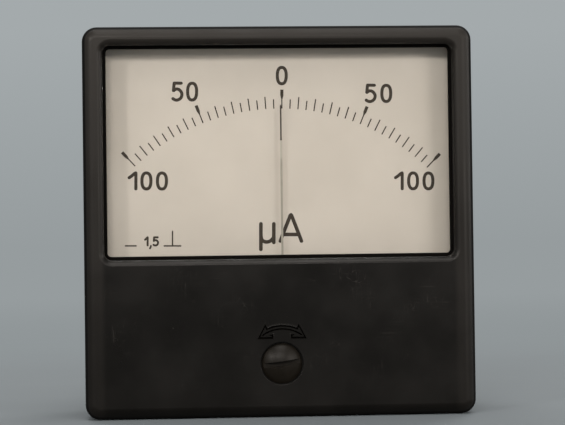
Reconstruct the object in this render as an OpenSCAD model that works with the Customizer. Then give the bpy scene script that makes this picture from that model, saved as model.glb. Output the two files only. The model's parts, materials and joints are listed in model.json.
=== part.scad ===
/* [Front frame] */
// Width and height of the square front
face_size = 80; // [78:0.5:84]
// Radius of the front's four outer corners
face_corner = 3; // [2:0.5:5]
// Rounding of the front's outer edge
face_round = 2; // [0.5:0.25:2]
// From the panel plane forward to the front
front_depth = 13; // [13:0.5:16]
// Thickness of the front wall
front_wall = 2.5; // [2:0.25:2.5]
// Thickness of the front frame's side walls
side_wall = 2.4; // [1.8:0.1:2.6]

/* [Window] */
// Width of the front's rail at each side of the window
side_rail = 4.1; // [3.8:0.1:6]
// Height of the front's rail above the window
top_rail = 3.8; // [3.8:0.1:6]
// Height of the plain panel below the window
lower_panel = 32.3; // [31.5:0.1:34]
// Corner radius of the window's opening
window_corner = 1.6; // [1:0.2:3]
// Width of the sloped edge round the window
window_bevel = 1.5; // [0.8:0.1:1.5]
// Thickness of the black gasket in front of the glass
gasket_t = 0.5; // [0.3:0.1:0.6]
// How far the gasket shows inside the window
gasket_lip = 0.8; // [0.4:0.1:1]
// Thickness of the glass
glass_t = 1.8; // [1.2:0.1:1.8]
// Thickness of the frame behind the glass
retainer_t = 0.6; // [0.4:0.1:0.6]

/* [Case] */
// Thickness of the square flange behind the front
flange_t = 3; // [2.5:0.25:3]
// Step from the flange's edge in to the round barrel
barrel_step = 2.5; // [2.5:0.25:3.5]
// Length of the barrel behind the panel
barrel_len = 26; // [26:0.5:30]
// Thickness of the barrel's wall
barrel_wall = 2.5; // [2:0.1:2.5]
// Depth of the rim that locates the front frame
rim_depth = 2; // [1:0.25:2]
// Thickness of the rim
rim_wall = 1.5; // [1:0.1:1.5]

/* [Fixings] */
// Distance of the fixing studs from the flange's edges
stud_inset = 7; // [7:0.25:8]
// Diameter of the fixing studs
stud_d = 3; // [2.5:0.5:3]
// Length of the fixing studs behind the panel
stud_len = 14; // [8:1:20]
// Distance between the two terminals
terminal_pitch = 30; // [24:1:34]
// Height of the terminals above the middle
terminal_z = -6; // [-8:1:-2]
// Diameter of a terminal's free end
terminal_d = 4; // [3:0.5:4]
// Length of a terminal's free end
terminal_end = 5.5; // [4:0.5:8]
// Diameter of a terminal's root in the case
terminal_root_d = 5; // [4.5:0.5:5]

/* [Zero adjuster] */
// Height of the adjuster's centre above the front's lower edge
knob_up = 10.95; // [10.5:0.05:12]
// Radius of the adjuster's domed head
knob_r = 4.1; // [3.9:0.05:4.6]
// Height of the dome
knob_dome = 1.5; // [0.6:0.05:1.7]
// Width of the screwdriver slot
slot_w = 0.95; // [0.8:0.05:1.4]
// Depth of the screwdriver slot
slot_depth = 1.25; // [0.6:0.05:1.4]
// Slope of the slot at rest, right end up
slot_tilt = 7.2; // [0:0.1:20]
// Radius of the adjuster's shank
shank_r = 2.5; // [2.2:0.1:2.6]
// Distance of the drive pin from the shank's axis
pin_throw = 0.9; // [0.6:0.05:1]
// Radius of the drive pin
pin_r = 0.5; // [0.4:0.05:0.6]

/* [Dial and pointer] */
// Thickness of the dial plate
dial_t = 1; // [0.8:0.1:1]
// Distance of the movement's axis to the right of the middle
axis_x = 0.7; // [0:0.1:0.8]
// Height of the movement's axis above the adjuster's centre
axis_up = 8.31; // [7.6:0.01:9]
// Radius of the pointer's tip
pointer_r = 44.95; // [43:0.05:45]
// Length of the pointer's thin dark tip
pointer_tip = 7.4; // [5:0.1:12]
// Width of the pointer's blade
blade_w = 0.43; // [0.35:0.01:0.8]
// Width of the pointer's tip
tip_w = 0.3; // [0.2:0.01:0.4]
// Thickness of the pointer
blade_t = 0.25; // [0.2:0.05:0.3]
// Angle of the pointer's stops from the middle
stop_angle = 53; // [53:0.2:54]

/* [Movement] */
// Radius of the core magnet
core_r = 7; // [6.5:0.1:7]
// Length of the core magnet
core_len = 12; // [11:0.5:12]
// Gap between the core and the coil's former
core_gap = 0.5; // [0.4:0.05:0.6]
// Thickness of the coil's former
former_t = 0.3; // [0.2:0.05:0.4]
// Thickness of the winding
winding_t = 0.9; // [0.6:0.05:1]
// Width of the coil's former
former_w = 2.8; // [2.4:0.1:3]
// Gap between the winding and the yoke ring
yoke_gap = 0.4; // [0.3:0.05:0.5]
// Wall of the yoke ring
yoke_wall = 3.2; // [3:0.1:3.3]
// Radius of the pivot spindles
spindle_r = 0.5; // [0.4:0.05:0.6]
// Radius of the jewel screws
jewel_screw_r = 1.5; // [1.3:0.05:1.6]
// Turns of the front hairspring
front_turns = 5; // [3:1:6]
// Turns of the rear hairspring
rear_turns = 4; // [3:1:5]
// Thickness of the hairsprings' strip
spring_t = 0.12; // [0.1:0.01:0.15]
// Width of the hairsprings' strip
spring_w = 0.4; // [0.3:0.05:0.5]

/* [Hidden] */
$fn = 72;
// Running clearance of a turning fit
run_fit = 0.05;
// Clearance of a fixed piece in its seat
seat_fit = 0.15;
// Overlap of cutting tools past the face they cut
past = 1;

half = face_size / 2;
front_y = -front_depth;
wall_back_y = front_y + front_wall;
glass_y = wall_back_y + gasket_t;
glass_back_y = glass_y + glass_t;
retainer_back_y = glass_back_y + retainer_t;
inner_half = half - side_wall;
rim_half = inner_half - seat_fit;
window_w = face_size - 2 * side_rail;
window_h = face_size - top_rail - lower_panel;
window_z = (lower_panel - top_rail) / 2;
knob_z = knob_up - half;
axis_z = knob_z + axis_up;
dial_back_y = -flange_t - rim_depth;
dial_y = dial_back_y - dial_t;
barrel_r = half - barrel_step;
barrel_in_r = barrel_r - barrel_wall;
barrel_chamfer = 1;
// The barrel's root in the flange is wider by this step
barrel_root = 0.45;
barrel_root_r = barrel_r + barrel_root;
floor_y = barrel_len - barrel_wall;
bevel_depth = 1.2;
pocket_corner = 1;

// Window pocket behind the front wall, which the gasket, glass and retainer fill
pocket_half = inner_half - seat_fit;
pocket_lip = 1.4;
pocket_low_z = window_z - window_h / 2 - pocket_lip;
pocket_h = inner_half - pocket_low_z - seat_fit;
pocket_z = pocket_low_z + pocket_h / 2;
pocket_rib = 1.4;
retainer_back = 0.2;

// Lower screws that hold the front frame to the flange
bezel_screw_x = 24;
bezel_boss_r = 2.6;
bezel_screw_up = 1.8;
bezel_screw_z = bezel_screw_up - inner_half;
bezel_screw_r = 1.1;
bezel_screw_head_r = 2;
bezel_screw_head_t = 1.5;
bezel_screw_sunk = 0.1;
bezel_screw_len = 6;
snap_len = 12;
snap_out = 0.35;

// Fixing studs, with a thicker root in the flange
stud_r = stud_d / 2;
stud_at = half - stud_inset;
stud_head_r = 0.9 * stud_d;
stud_head_t = 1.6;
stud_root_r = stud_r + 0.2;
stud_chamfer = 0.4;

// Movement stack along Y, from the axis of the coil's frame
yoke_y = -0.5;
yoke_len = core_len + 1;
frame_y = yoke_y + yoke_len;
frame_t = 2;
frame_back_y = frame_y + frame_t;
former_in_r = core_r + core_gap;
former_out_r = former_in_r + former_t;
winding_out_r = former_out_r + winding_t;
former_lip = 0.2;
winding_w = former_w - 2 * former_lip;
coil_corner_r = norm([winding_out_r, winding_w / 2]);
yoke_in_r = coil_corner_r + yoke_gap;
yoke_out_r = yoke_in_r + yoke_wall;
coil_end_spare = 0.2;
coil_end_gap = core_gap + coil_end_spare;
winding_front_y = -coil_end_gap - former_t - winding_t;
winding_back_y = core_len + coil_end_gap + former_t + winding_t;
coil_pad_t = 0.4;
coil_pad_r = 1.9;

// Front bridge, the lever on its hub and the screw through it
bridge_t = 1;
front_bridge_y = -7.6;
front_bridge_back_y = front_bridge_y + bridge_t;
bridge_half_w = 3;
bridge_strip_w = 4.6;
bridge_reach = 11;
bridge_foot_r = 2.6;
bridge_screw_head_r = 1.6;
bridge_screw_head_t = 0.8;
bridge_screw_len = 2.5;
hub_r = 2.2;
hub_rise = 0.7;
lever_t = 0.6;
lever_y = front_bridge_y - hub_rise + run_fit;
lever_ring_r = 3.9;
nut_t = 0.8;
nut_r = 2.9;
front_nut_y = front_bridge_y - hub_rise - nut_t;
pillar_r = 1.6;
pillar_tap = 3;

// Rear bridge and the screw through it
rear_bridge_gap = 2.5;
rear_bridge_y = frame_back_y + rear_bridge_gap;
rear_bridge_back_y = rear_bridge_y + bridge_t;
rear_reach = 11;
rear_screw_len = 2;
core_post_x = 5;
core_post_r = 1.1;

// Pivots, jewels and springs
jewel_r = 0.8;
jewel_t = 0.7;
jewel_cup_r = 0.5;
jewel_cup_depth = 0.5;
jewel_cup_point_r = 0.01;
jewel_slot_w = 0.5;
jewel_slot_depth = 0.5;
pivot_tip = jewel_cup_depth + 0.15;
pivot_root_r = 0.3;
pivot_point_r = 0.03;
pivot_play = 0.06;
front_jewel_y = -5.6;
rear_jewel_in = 1;
rear_jewel_y = rear_bridge_y - rear_jewel_in;
front_screw_y = -9.5;
rear_screw_out = 1.8;
rear_screw_y = rear_bridge_back_y + rear_screw_out;
collet_r = 0.95;
collet_t = 0.6;
collet_lead = 0.1;
front_spring_y = -5;
rear_spring_gap = 0.8;
rear_spring_y = winding_back_y + rear_spring_gap;
front_spring_r = 5.4;
rear_spring_r = 3.1;
tab_t = 0.3;
tab_w = 1;
tab_reach = 8;
front_tab_turn = 135;
rear_tab_turn = 90;
rear_tab_t = 0.6;
spiral_steps = 20;

// Pointer, seen from its hub outward
hub_plate_y = -3.4;
hub_plate_t = 0.4;
hub_plate_r = 2.1;
pointer_lift = 1.4;
pointer_y = dial_y - pointer_lift;
tip_taper = 0.5;
tip_point = 0.3;
rise_from_r = 5;
rise_to_r = 8.2;
tail_r = 7.4;
side_arm_r = 5.6;
arm_w = 0.9;
tail_weight_r = 1.15;
tail_weight_len = 1.35;
tail_weight_at = 6.3;
side_weight_r = 0.75;
side_weight_len = 1.2;
side_weight_at = 4.6;
stop_r = 17;
stop_pin_r = 0.5;
stop_past_blade = 0.15;

// Dial plate and what carries it
dial_gap = 0.4;
dial_half = inner_half - dial_gap;
dial_drop = 6.26;
dial_low_z = axis_z - dial_drop;
notch_half = 13.4;
notch_top = 9.5;
dial_post_x = 17;
dial_post_up = 5;
dial_post_r = 1.5;
dial_post_tap = 4;
dial_screw_r = 0.8;
dial_screw_head_r = 1.8;
dial_screw_head_t = 0.9;
dial_screw_len = 3.5;
ear_x = 18.8;
ear_down = 3.5;
ear_r = 3;
post_ear_r = 2;
frame_rim = 1;
frame_r = yoke_out_r + frame_rim;
frame_hole_gap = 0.3;
frame_hole_r = yoke_in_r + frame_hole_gap;
frame_screw_r = 1;
frame_screw_head_r = 2;
frame_screw_head_t = 1.1;
frame_screw_len = 5;
yoke_screw_head_r = 1.5;
yoke_screw_head_t = 0.8;
yoke_screw_turn = 45;

// Adjuster, from its head to the drive pin
knob_sunk = 1;
knob_seat_y = front_y + knob_sunk;
knob_gap = 0.25;
knob_edge = 0.35;
washer_t = 0.4;
washer_rim = 1.6;
clip_t = 0.4;
clip_rim = 1;
clip_y = wall_back_y + washer_t;
groove_depth = 0.5;
groove_r = shank_r - groove_depth;
clip_mouth = 1.6 * groove_r;
shank_end = 0.4;
shank_back_y = clip_y + clip_t + shank_end;
pin_back_y = lever_y + lever_t - run_fit;
dome_facets = 144;
dome_ball_r = (knob_r * knob_r + knob_dome * knob_dome) / (2 * knob_dome);

// The fork leans from the movement's axis to the drive pin at rest
pin_drop = axis_z - knob_z - pin_throw;
fork_lean = atan2(axis_x, pin_drop);
fork_far_r = norm([axis_x, pin_drop]);
fork_play = 0.12;
fork_arm = 0.8;
fork_slot_half = pin_r + fork_play;
fork_arm_half = fork_slot_half + fork_arm;
fork_reach = 1.5;
fork_end_r = fork_far_r + fork_reach;
fork_root_r = fork_far_r - fork_reach;

// Terminals, from the lug inside to the nut outside
terminal_root_r = terminal_root_d / 2;
terminal_r = terminal_d / 2;
pad_r = 5.6;
pad_t = 0.8;
lug_t = 0.5;
head_t = 2.2;
head_r = 4.2;
washer_r = 4.9;
rear_washer_t = 0.8;
nut_big_t = 2.7;
nut_big_r = 4.6;
nut_spare = 0.2;
terminal_step_y = barrel_len + pad_t + rear_washer_t + nut_big_t + nut_spare;
terminal_chamfer = 0.5;
lug_reach = 6;
lug_tail_w = 2;

// Lead wires, from the lugs to the front bridge's pillar and the rear spring tab
wire_r = 0.3;
wire_straight = 5;
wire_pass_y = -1.5;
wire_pass_up = 8.7;
wire_pass_in = 0.2;
wire_land_y = -2.5;
wire_turn_out = 3;
wire_sides = 10;
// Any direction that no run of the wires follows
wire_ref = [1, 1, 0.2];

black = "#201e1c";
brown = "#3a2c26";
brass_c = "#b79a5b";
steel_c = "#9a9a98";
dial_c = "#c8bfb0";

// A flat outline in X and Z, made solid from one Y to another
module slab(from_y, to_y) {
    translate([0, to_y, 0])
        rotate([90, 0, 0])
            linear_extrude(to_y - from_y)
                children();
}

// A round bar along Y
module rod(from_y, to_y, r) {
    translate([0, to_y, 0])
        rotate([90, 0, 0])
            cylinder(h = to_y - from_y, r = r);
}

// A hexagonal bar along Y, measured to its corners
module hex_rod(from_y, to_y, r) {
    translate([0, to_y, 0])
        rotate([90, 0, 0])
            cylinder(h = to_y - from_y, r = r, $fn = 6);
}

// An outline of radius and Y, revolved about the Y axis
module turned() {
    rotate([-90, 0, 0])
        rotate_extrude()
            children();
}

// A cone or tapered bar along Y
module taper(from_y, to_y, from_r, to_r) {
    translate([0, from_y, 0])
        rotate([-90, 0, 0])
            cylinder(h = to_y - from_y, r1 = from_r, r2 = to_r);
}

// A bar with round ends, from one side of the origin to the other
module round_bar(reach, r) {
    square([2 * reach, 2 * r], center = true);
    for (side = [-1, 1])
        translate([side * reach, 0])
            circle(r);
}

// A rectangle with round corners, centred on the origin
module round_rect(w, h, r) {
    square([w, h - 2 * r], center = true);
    square([w - 2 * r, h], center = true);
    for (x = [-1, 1], z = [-1, 1])
        translate([x * (w / 2 - r), z * (h / 2 - r)])
            circle(r);
}

// Runs a symmetric outline of distance and Y along both edges of a rectangle,
// and revolves its corner outline at the four corners
module edge_run(w, h, r) {
    translate([-(w / 2 - r), 0, 0])
        rotate([0, 90, 0])
            linear_extrude(w - 2 * r)
                children(0);
    translate([0, 0, -(h / 2 - r)])
        linear_extrude(h - 2 * r)
            children(1);
    for (x = [-1, 1], z = [-1, 1])
        translate([x * (w / 2 - r), 0, z * (h / 2 - r)])
            turned()
                children(2);
}

// Outline across a slab whose front edges are rounded
module rounded_outline(reach, r, from_y, to_y) {
    translate([-reach, from_y + r])
        square([2 * reach, to_y - from_y - r]);
    translate([-reach + r, from_y])
        square([2 * (reach - r), r + (to_y - from_y - r) / 2]);
    for (side = [-1, 1])
        translate([side * (reach - r), from_y + r])
            circle(r);
}

// One half of that outline, for the corners
module rounded_half_outline(reach, r, from_y, to_y) {
    intersection() {
        rounded_outline(reach, r, from_y, to_y);
        translate([0, from_y - past])
            square([reach + past, to_y - from_y + 2 * past]);
    }
}

// Outline across a cut that widens by the bevel toward the front
module flared_outline(reach, flare, front, depth) {
    polygon([
        [-reach - 2 * flare, front - depth],
        [reach + 2 * flare, front - depth],
        [reach, front + depth],
        [-reach, front + depth]
    ]);
}

module flared_half_outline(reach, flare, front, depth) {
    polygon([
        [0, front - depth],
        [reach + 2 * flare, front - depth],
        [reach, front + depth],
        [0, front + depth]
    ]);
}

// Puts a piece on the movement's axis
module on_axis() {
    translate([axis_x, 0, axis_z])
        children();
}

// Puts copies at both sides of the middle plane
module both_sides(x) {
    for (side = [-1, 1])
        translate([side * x, 0, 0])
            children();
}

// A pan-head screw along Y: the head's front is at head_y, its shank runs back
module screw(head_y, head_r, head_t, shank_r, shank_len) {
    difference() {
        rod(head_y, head_y + head_t, head_r);
        translate([0, head_y, 0])
            cube([2 * (head_r + past), head_t, head_r / 3], center = true);
    }
    rod(head_y + head_t * 3 / 4, head_y + head_t + shank_len, shank_r);
}

// A hexagonal nut along Y with a plain bore
module nut(from_y, to_y, r, bore_r) {
    difference() {
        hex_rod(from_y, to_y, r);
        rod(from_y - past, to_y + past, bore_r);
    }
}

// A flat ring along Y
module ring(from_y, to_y, in_r, out_r) {
    difference() {
        rod(from_y, to_y, out_r);
        rod(from_y - past, to_y + past, in_r);
    }
}

// A spiral strip in X and Z, from an inner radius out to an end angle
function spiral_point(k, steps, turns, in_r, out_r, last, side) =
    let (share = k / steps, r = in_r + (out_r - in_r) * share + side * spring_t / 2)
    let (a = last - 360 * turns * (1 - share))
    [r * sin(a), r * cos(a)];

module spiral_strip(turns, in_r, out_r, last) {
    steps = turns * spiral_steps;
    polygon(concat(
        [for (k = [0:steps]) spiral_point(k, steps, turns, in_r, out_r, last, 1)],
        [for (k = [steps:-1:0]) spiral_point(k, steps, turns, in_r, out_r, last, -1)]
    ));
}

// A wire swept through a list of points, as one tube with flat ends
function unit(v) = v / norm(v);

function wire_ring(p, way) =
    let (across = unit(cross(way, wire_ref)), up = cross(way, across))
    [for (k = [0:wire_sides - 1])
        p + wire_r * (cos(360 * k / wire_sides) * across + sin(360 * k / wire_sides) * up)];

module wire(points) {
    last = len(points) - 1;
    runs = [for (k = [1:last]) unit(points[k] - points[k - 1])];
    ways = [for (k = [0:last]) unit(runs[max(k - 1, 0)] + runs[min(k, last - 1)])];
    skin = [for (k = [0:last - 1], s = [0:wire_sides - 1])
        let (a = k * wire_sides + s, b = k * wire_sides + (s + 1) % wire_sides)
        each [[a, a + wire_sides, b + wire_sides], [a, b + wire_sides, b]]];
    polyhedron(
        [for (k = [0:last]) each wire_ring(points[k], ways[k])],
        concat(
            [[for (s = [0:wire_sides - 1]) s]],
            skin,
            [[for (s = [wire_sides - 1:-1:0]) last * wire_sides + s]]
        )
    );
}

module bezel() {
    color(black)
        difference() {
            union() {
                difference() {
                    edge_run(face_size, face_size, face_corner) {
                        rounded_outline(half, face_round, front_y, -flange_t);
                        rounded_outline(half, face_round, front_y, -flange_t);
                        rounded_half_outline(face_corner, face_round, front_y, -flange_t);
                    }
                    slab(wall_back_y, -flange_t + past)
                        round_rect(2 * inner_half, 2 * inner_half, pocket_corner);
                }
                window_pocket_rib();
                bezel_bosses();
            }
            window_cut();
            adjuster_bore();
            for (side = [-1, 1])
                translate([side * bezel_screw_x, 0, bezel_screw_z])
                    rod(-flange_t - bezel_screw_len - past / 2, -flange_t + past, bezel_screw_r);
            snap_groove();
        }
}

// Sloped opening in the front wall
module window_cut() {
    translate([0, 0, window_z]) {
        slab(front_y - past, wall_back_y + past)
            round_rect(window_w, window_h, window_corner);
        edge_run(window_w, window_h, window_corner) {
            flared_outline(window_h / 2, window_bevel, front_y, bevel_depth);
            flared_outline(window_w / 2, window_bevel, front_y, bevel_depth);
            flared_half_outline(window_corner, window_bevel, front_y, bevel_depth);
        }
    }
}

// Rib under the glass, across the inside of the front wall
module window_pocket_rib() {
    translate([0, 0, pocket_low_z - seat_fit - pocket_rib / 2])
        slab(wall_back_y - front_wall / 2, retainer_back_y)
            square([2 * inner_half + side_wall, pocket_rib], center = true);
}

module bezel_bosses() {
    intersection() {
        for (side = [-1, 1])
            translate([side * bezel_screw_x, 0, bezel_screw_z]) {
                rod(wall_back_y - front_wall / 2, -flange_t, bezel_boss_r);
                slab(wall_back_y - front_wall / 2, -flange_t)
                    translate([0, -bezel_boss_r])
                        square([2 * bezel_boss_r, 2 * bezel_boss_r], center = true);
            }
        slab(front_y, -flange_t)
            square(face_size - side_wall, center = true);
    }
}

// Round seat for the adjuster's head and the bore for its shank
module adjuster_bore() {
    translate([0, 0, knob_z]) {
        rod(front_y - past, knob_seat_y, knob_r + knob_gap);
        rod(front_y, wall_back_y + past, shank_r + run_fit);
    }
}

// Groove in the top wall that takes the flange's snap rib
module snap_groove() {
    translate([0, -flange_t - rim_depth / 2, inner_half])
        cube([snap_len + 2 * seat_fit, rim_depth / 2 + seat_fit, 2 * snap_out], center = true);
}

module window_gasket() {
    color(black)
        difference() {
            translate([0, 0, pocket_z])
                slab(wall_back_y, glass_y)
                    round_rect(2 * pocket_half, pocket_h, pocket_corner);
            translate([0, 0, window_z])
                slab(wall_back_y - past, glass_y + past)
                    round_rect(window_w - 2 * gasket_lip, window_h - 2 * gasket_lip, window_corner);
        }
}

module window_glass() {
    color("#c9d6d4", 0.35)
        translate([0, 0, pocket_z])
            slab(glass_y, glass_back_y)
                round_rect(2 * pocket_half, pocket_h, pocket_corner);
}

module glass_retainer() {
    color(black)
        difference() {
            translate([0, 0, pocket_z])
                slab(glass_back_y, retainer_back_y)
                    round_rect(2 * pocket_half, pocket_h, pocket_corner);
            translate([0, 0, window_z])
                slab(glass_back_y - past, retainer_back_y + past)
                    round_rect(window_w + 2 * retainer_back, window_h + 2 * retainer_back, window_corner);
        }
}

module zero_adjuster() {
    color(brown)
        translate([0, 0, knob_z]) {
            difference() {
                adjuster_head();
                rotate([0, -slot_tilt, 0])
                    translate([0, knob_seat_y - knob_edge - knob_dome, 0])
                        cube([3 * knob_r, 2 * slot_depth, slot_w], center = true);
            }
            rod(knob_seat_y, clip_y, shank_r);
            rod(clip_y, clip_y + clip_t, groove_r);
            rod(clip_y + clip_t, shank_back_y, shank_r);
            translate([0, 0, pin_throw])
                rod(shank_back_y, pin_back_y, pin_r);
        }
}

// Low dome that stands on the floor of its seat
module adjuster_head() {
    intersection() {
        rod(knob_seat_y - 2 * knob_dome, knob_seat_y, knob_r);
        translate([0, knob_seat_y - knob_edge - knob_dome + dome_ball_r, 0])
            sphere(dome_ball_r, $fn = dome_facets);
    }
}

module adjuster_washer() {
    color(steel_c)
        translate([0, 0, knob_z])
            ring(wall_back_y, clip_y, shank_r + 2 * run_fit, shank_r + washer_rim);
}

module adjuster_clip() {
    color(steel_c)
        translate([0, 0, knob_z])
            difference() {
                ring(clip_y, clip_y + clip_t, groove_r, shank_r + clip_rim);
                translate([-clip_mouth / 2, clip_y - past, -shank_r - 2 * clip_rim])
                    cube([clip_mouth, clip_t + 2 * past, shank_r + 2 * clip_rim]);
            }
}

// The case is one moulding, in two nodes: the square flange and the round barrel through it
module case_flange() {
    color(black)
        difference() {
            union() {
                slab(-flange_t, 0)
                    round_rect(face_size, face_size, face_corner);
                case_rim();
            }
            rod(-flange_t, past, barrel_root_r);
            flange_holes();
        }
}

module case_barrel() {
    color(black)
        difference() {
            union() {
                turned()
                    polygon([
                        [0, -flange_t], [barrel_root_r, -flange_t],
                        [barrel_root_r, 0], [barrel_r, 0],
                        [barrel_r, barrel_len - barrel_chamfer], [barrel_r - barrel_chamfer, barrel_len],
                        [0, barrel_len]
                    ]);
                both_sides(terminal_pitch / 2)
                    translate([0, 0, terminal_z])
                        rod(floor_y + past, barrel_len + pad_t, pad_r);
            }
            difference() {
                rod(-flange_t - past, floor_y, barrel_in_r);
                case_bosses();
            }
            both_sides(terminal_pitch / 2)
                translate([0, 0, terminal_z])
                    rod(floor_y - past, barrel_len + pad_t + past, terminal_root_r + run_fit);
            movement_holes();
        }
}

// Rim on the flange's front that locates the front frame, with its snap rib
module case_rim() {
    difference() {
        union() {
            slab(dial_back_y, -flange_t / 2)
                round_rect(2 * rim_half, 2 * rim_half, pocket_corner);
            translate([0, -flange_t - rim_depth / 2, inner_half])
                cube([snap_len, rim_depth / 2, 2 * (snap_out - seat_fit)], center = true);
        }
        slab(dial_back_y - past, -flange_t)
            round_rect(2 * (rim_half - rim_wall), 2 * (rim_half - rim_wall), pocket_corner);
        both_sides(bezel_screw_x)
            translate([0, dial_back_y, bezel_screw_z])
                cube([2 * bezel_boss_r + 4 * seat_fit, 2 * rim_depth, 4 * bezel_boss_r], center = true);
    }
}

// Bosses on the case's floor that carry the movement's frame
module case_bosses() {
    on_axis()
        both_sides(ear_x)
            translate([0, 0, -ear_down])
                rod(frame_back_y, floor_y + past, ear_r);
}

module movement_holes() {
    on_axis()
        both_sides(ear_x)
            translate([0, 0, -ear_down])
                rod(frame_back_y - past, frame_back_y + frame_screw_len + past, frame_screw_r);
}

// Holes for the fixing studs with their hexagonal seats, and for the frame's screws
module flange_holes() {
    for (x = [-1, 1], z = [-1, 1])
        translate([x * stud_at, 0, z * stud_at]) {
            rod(-flange_t - past, past, stud_root_r + run_fit);
            hex_rod(-flange_t - past, -flange_t + stud_head_t, stud_head_r + run_fit);
        }
    both_sides(bezel_screw_x)
        translate([0, 0, bezel_screw_z]) {
            rod(-flange_t - past, past, bezel_screw_r + seat_fit);
            rod(-bezel_screw_sunk - bezel_screw_head_t, past, bezel_screw_head_r + seat_fit);
        }
}

module mounting_studs() {
    color(steel_c)
        for (x = [-1, 1], z = [-1, 1])
            translate([x * stud_at, 0, z * stud_at]) {
                hex_rod(-flange_t, -flange_t + stud_head_t, stud_head_r);
                rod(-flange_t + stud_head_t / 2, 0, stud_root_r);
                rod(-stud_head_t / 2, stud_len - stud_chamfer, stud_r);
                taper(stud_len - stud_chamfer, stud_len, stud_r, stud_r - stud_chamfer);
            }
}

module bezel_screws() {
    color(steel_c)
        both_sides(bezel_screw_x)
            translate([0, 0, bezel_screw_z])
                rotate([0, 0, 180])
                    screw(bezel_screw_sunk, bezel_screw_head_r, bezel_screw_head_t,
                          bezel_screw_r, bezel_screw_len);
}

module dial_plate() {
    color(dial_c)
        difference() {
            slab(dial_y, dial_back_y)
                difference() {
                    translate([-dial_half, dial_low_z])
                        square([2 * dial_half, dial_half - dial_low_z]);
                    translate([axis_x - notch_half, dial_low_z - past])
                        square([2 * notch_half, axis_z + notch_top - dial_low_z + past]);
                }
            on_axis()
                both_sides(dial_post_x)
                    translate([0, 0, dial_post_up])
                        rod(dial_y - past, dial_back_y + past, dial_screw_r + seat_fit);
            stops_at(dial_y - past, dial_back_y + past);
        }
}

// Round bars where the pointer's stops stand
module stops_at(from_y, to_y) {
    on_axis()
        for (side = [-1, 1])
            rotate([0, side * stop_angle, 0])
                translate([0, 0, stop_r])
                    rod(from_y, to_y, stop_pin_r);
}

module pointer_stops() {
    color(steel_c)
        stops_at(pointer_y - stop_past_blade, dial_back_y);
}

module dial_posts() {
    color(brass_c)
        on_axis()
            both_sides(dial_post_x)
                translate([0, 0, dial_post_up])
                    difference() {
                        rod(dial_back_y, frame_y, dial_post_r);
                        rod(dial_back_y - past, dial_back_y + dial_post_tap, dial_screw_r);
                    }
}

module dial_screws() {
    color(steel_c)
        on_axis()
            both_sides(dial_post_x)
                translate([0, 0, dial_post_up])
                    screw(dial_y - dial_screw_head_t, dial_screw_head_r, dial_screw_head_t,
                          dial_screw_r, dial_t + dial_screw_len);
}

module movement_frame() {
    color(steel_c)
        on_axis()
            difference() {
                slab(frame_y, frame_back_y)
                    frame_outline();
                rod(frame_y - past, frame_back_y + past, frame_hole_r);
                both_sides(ear_x)
                    translate([0, 0, -ear_down])
                        rod(frame_y - past, frame_back_y + past, frame_screw_r + seat_fit);
                yoke_screw_places()
                    rod(frame_y - past, frame_back_y + past, frame_screw_r);
            }
}

// Disc with two ears for its screws and two for the dial's posts
module frame_outline() {
    circle(frame_r);
    translate([0, -ear_down])
        round_bar(ear_x, ear_r);
    translate([0, dial_post_up])
        round_bar(dial_post_x, post_ear_r);
}

module movement_screws() {
    color(steel_c)
        on_axis()
            both_sides(ear_x)
                translate([0, 0, -ear_down])
                    screw(frame_y - frame_screw_head_t, frame_screw_head_r, frame_screw_head_t,
                          frame_screw_r, frame_t + frame_screw_len);
}

module yoke_screw_places() {
    for (turn = [yoke_screw_turn, yoke_screw_turn + 180])
        rotate([0, turn, 0])
            translate([0, 0, (yoke_in_r + yoke_out_r) / 2])
                children();
}

module yoke_ring() {
    color("#6f6f6e")
        on_axis()
            difference() {
                ring(yoke_y, frame_y, yoke_in_r, yoke_out_r);
                yoke_screw_places()
                    rod(yoke_y - past, frame_y + past, frame_screw_r);
            }
}

module yoke_screws() {
    color(steel_c)
        on_axis()
            yoke_screw_places()
                screw(yoke_y - yoke_screw_head_t, yoke_screw_head_r, yoke_screw_head_t,
                      frame_screw_r, yoke_len + frame_t);
}

module core_magnet() {
    color("#585a5c")
        on_axis()
            rod(0, core_len, core_r);
}

module core_posts() {
    color(brass_c)
        on_axis()
            for (side = [-1, 1])
                translate([0, 0, side * core_post_x])
                    rod(core_len, rear_bridge_y, core_post_r);
}

module front_pillars() {
    color(brass_c)
        on_axis()
            both_sides(bridge_reach)
                difference() {
                    rod(front_bridge_back_y, yoke_y, pillar_r);
                    rod(front_bridge_back_y - past, front_bridge_back_y + pillar_tap, dial_screw_r);
                }
}

module front_bridge() {
    color(brass_c)
        on_axis()
            difference() {
                union() {
                    slab(front_bridge_y, front_bridge_back_y)
                        bridge_outline(bridge_reach);
                    rod(front_bridge_y - hub_rise, front_bridge_y + bridge_t / 2, hub_r);
                }
                rod(front_bridge_y - past, front_bridge_back_y + past, jewel_screw_r);
                both_sides(bridge_reach)
                    rod(front_bridge_y - past, front_bridge_back_y + past, dial_screw_r + seat_fit);
            }
}

// Strip with a round foot at each end
module bridge_outline(reach) {
    square([2 * reach, bridge_strip_w], center = true);
    circle(bridge_half_w);
    for (side = [-1, 1])
        translate([side * reach, 0])
            circle(bridge_foot_r);
}

module front_bridge_screws() {
    color(steel_c)
        on_axis()
            both_sides(bridge_reach)
                screw(front_bridge_y - bridge_screw_head_t, bridge_screw_head_r, bridge_screw_head_t,
                      dial_screw_r, bridge_t + bridge_screw_len);
}

module rear_pillars() {
    color(brass_c)
        on_axis()
            for (side = [-1, 1])
                translate([0, 0, side * rear_reach])
                    difference() {
                        rod(frame_back_y, rear_bridge_y, pillar_r);
                        rod(frame_back_y - past, rear_bridge_y + past, dial_screw_r);
                    }
}

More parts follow.
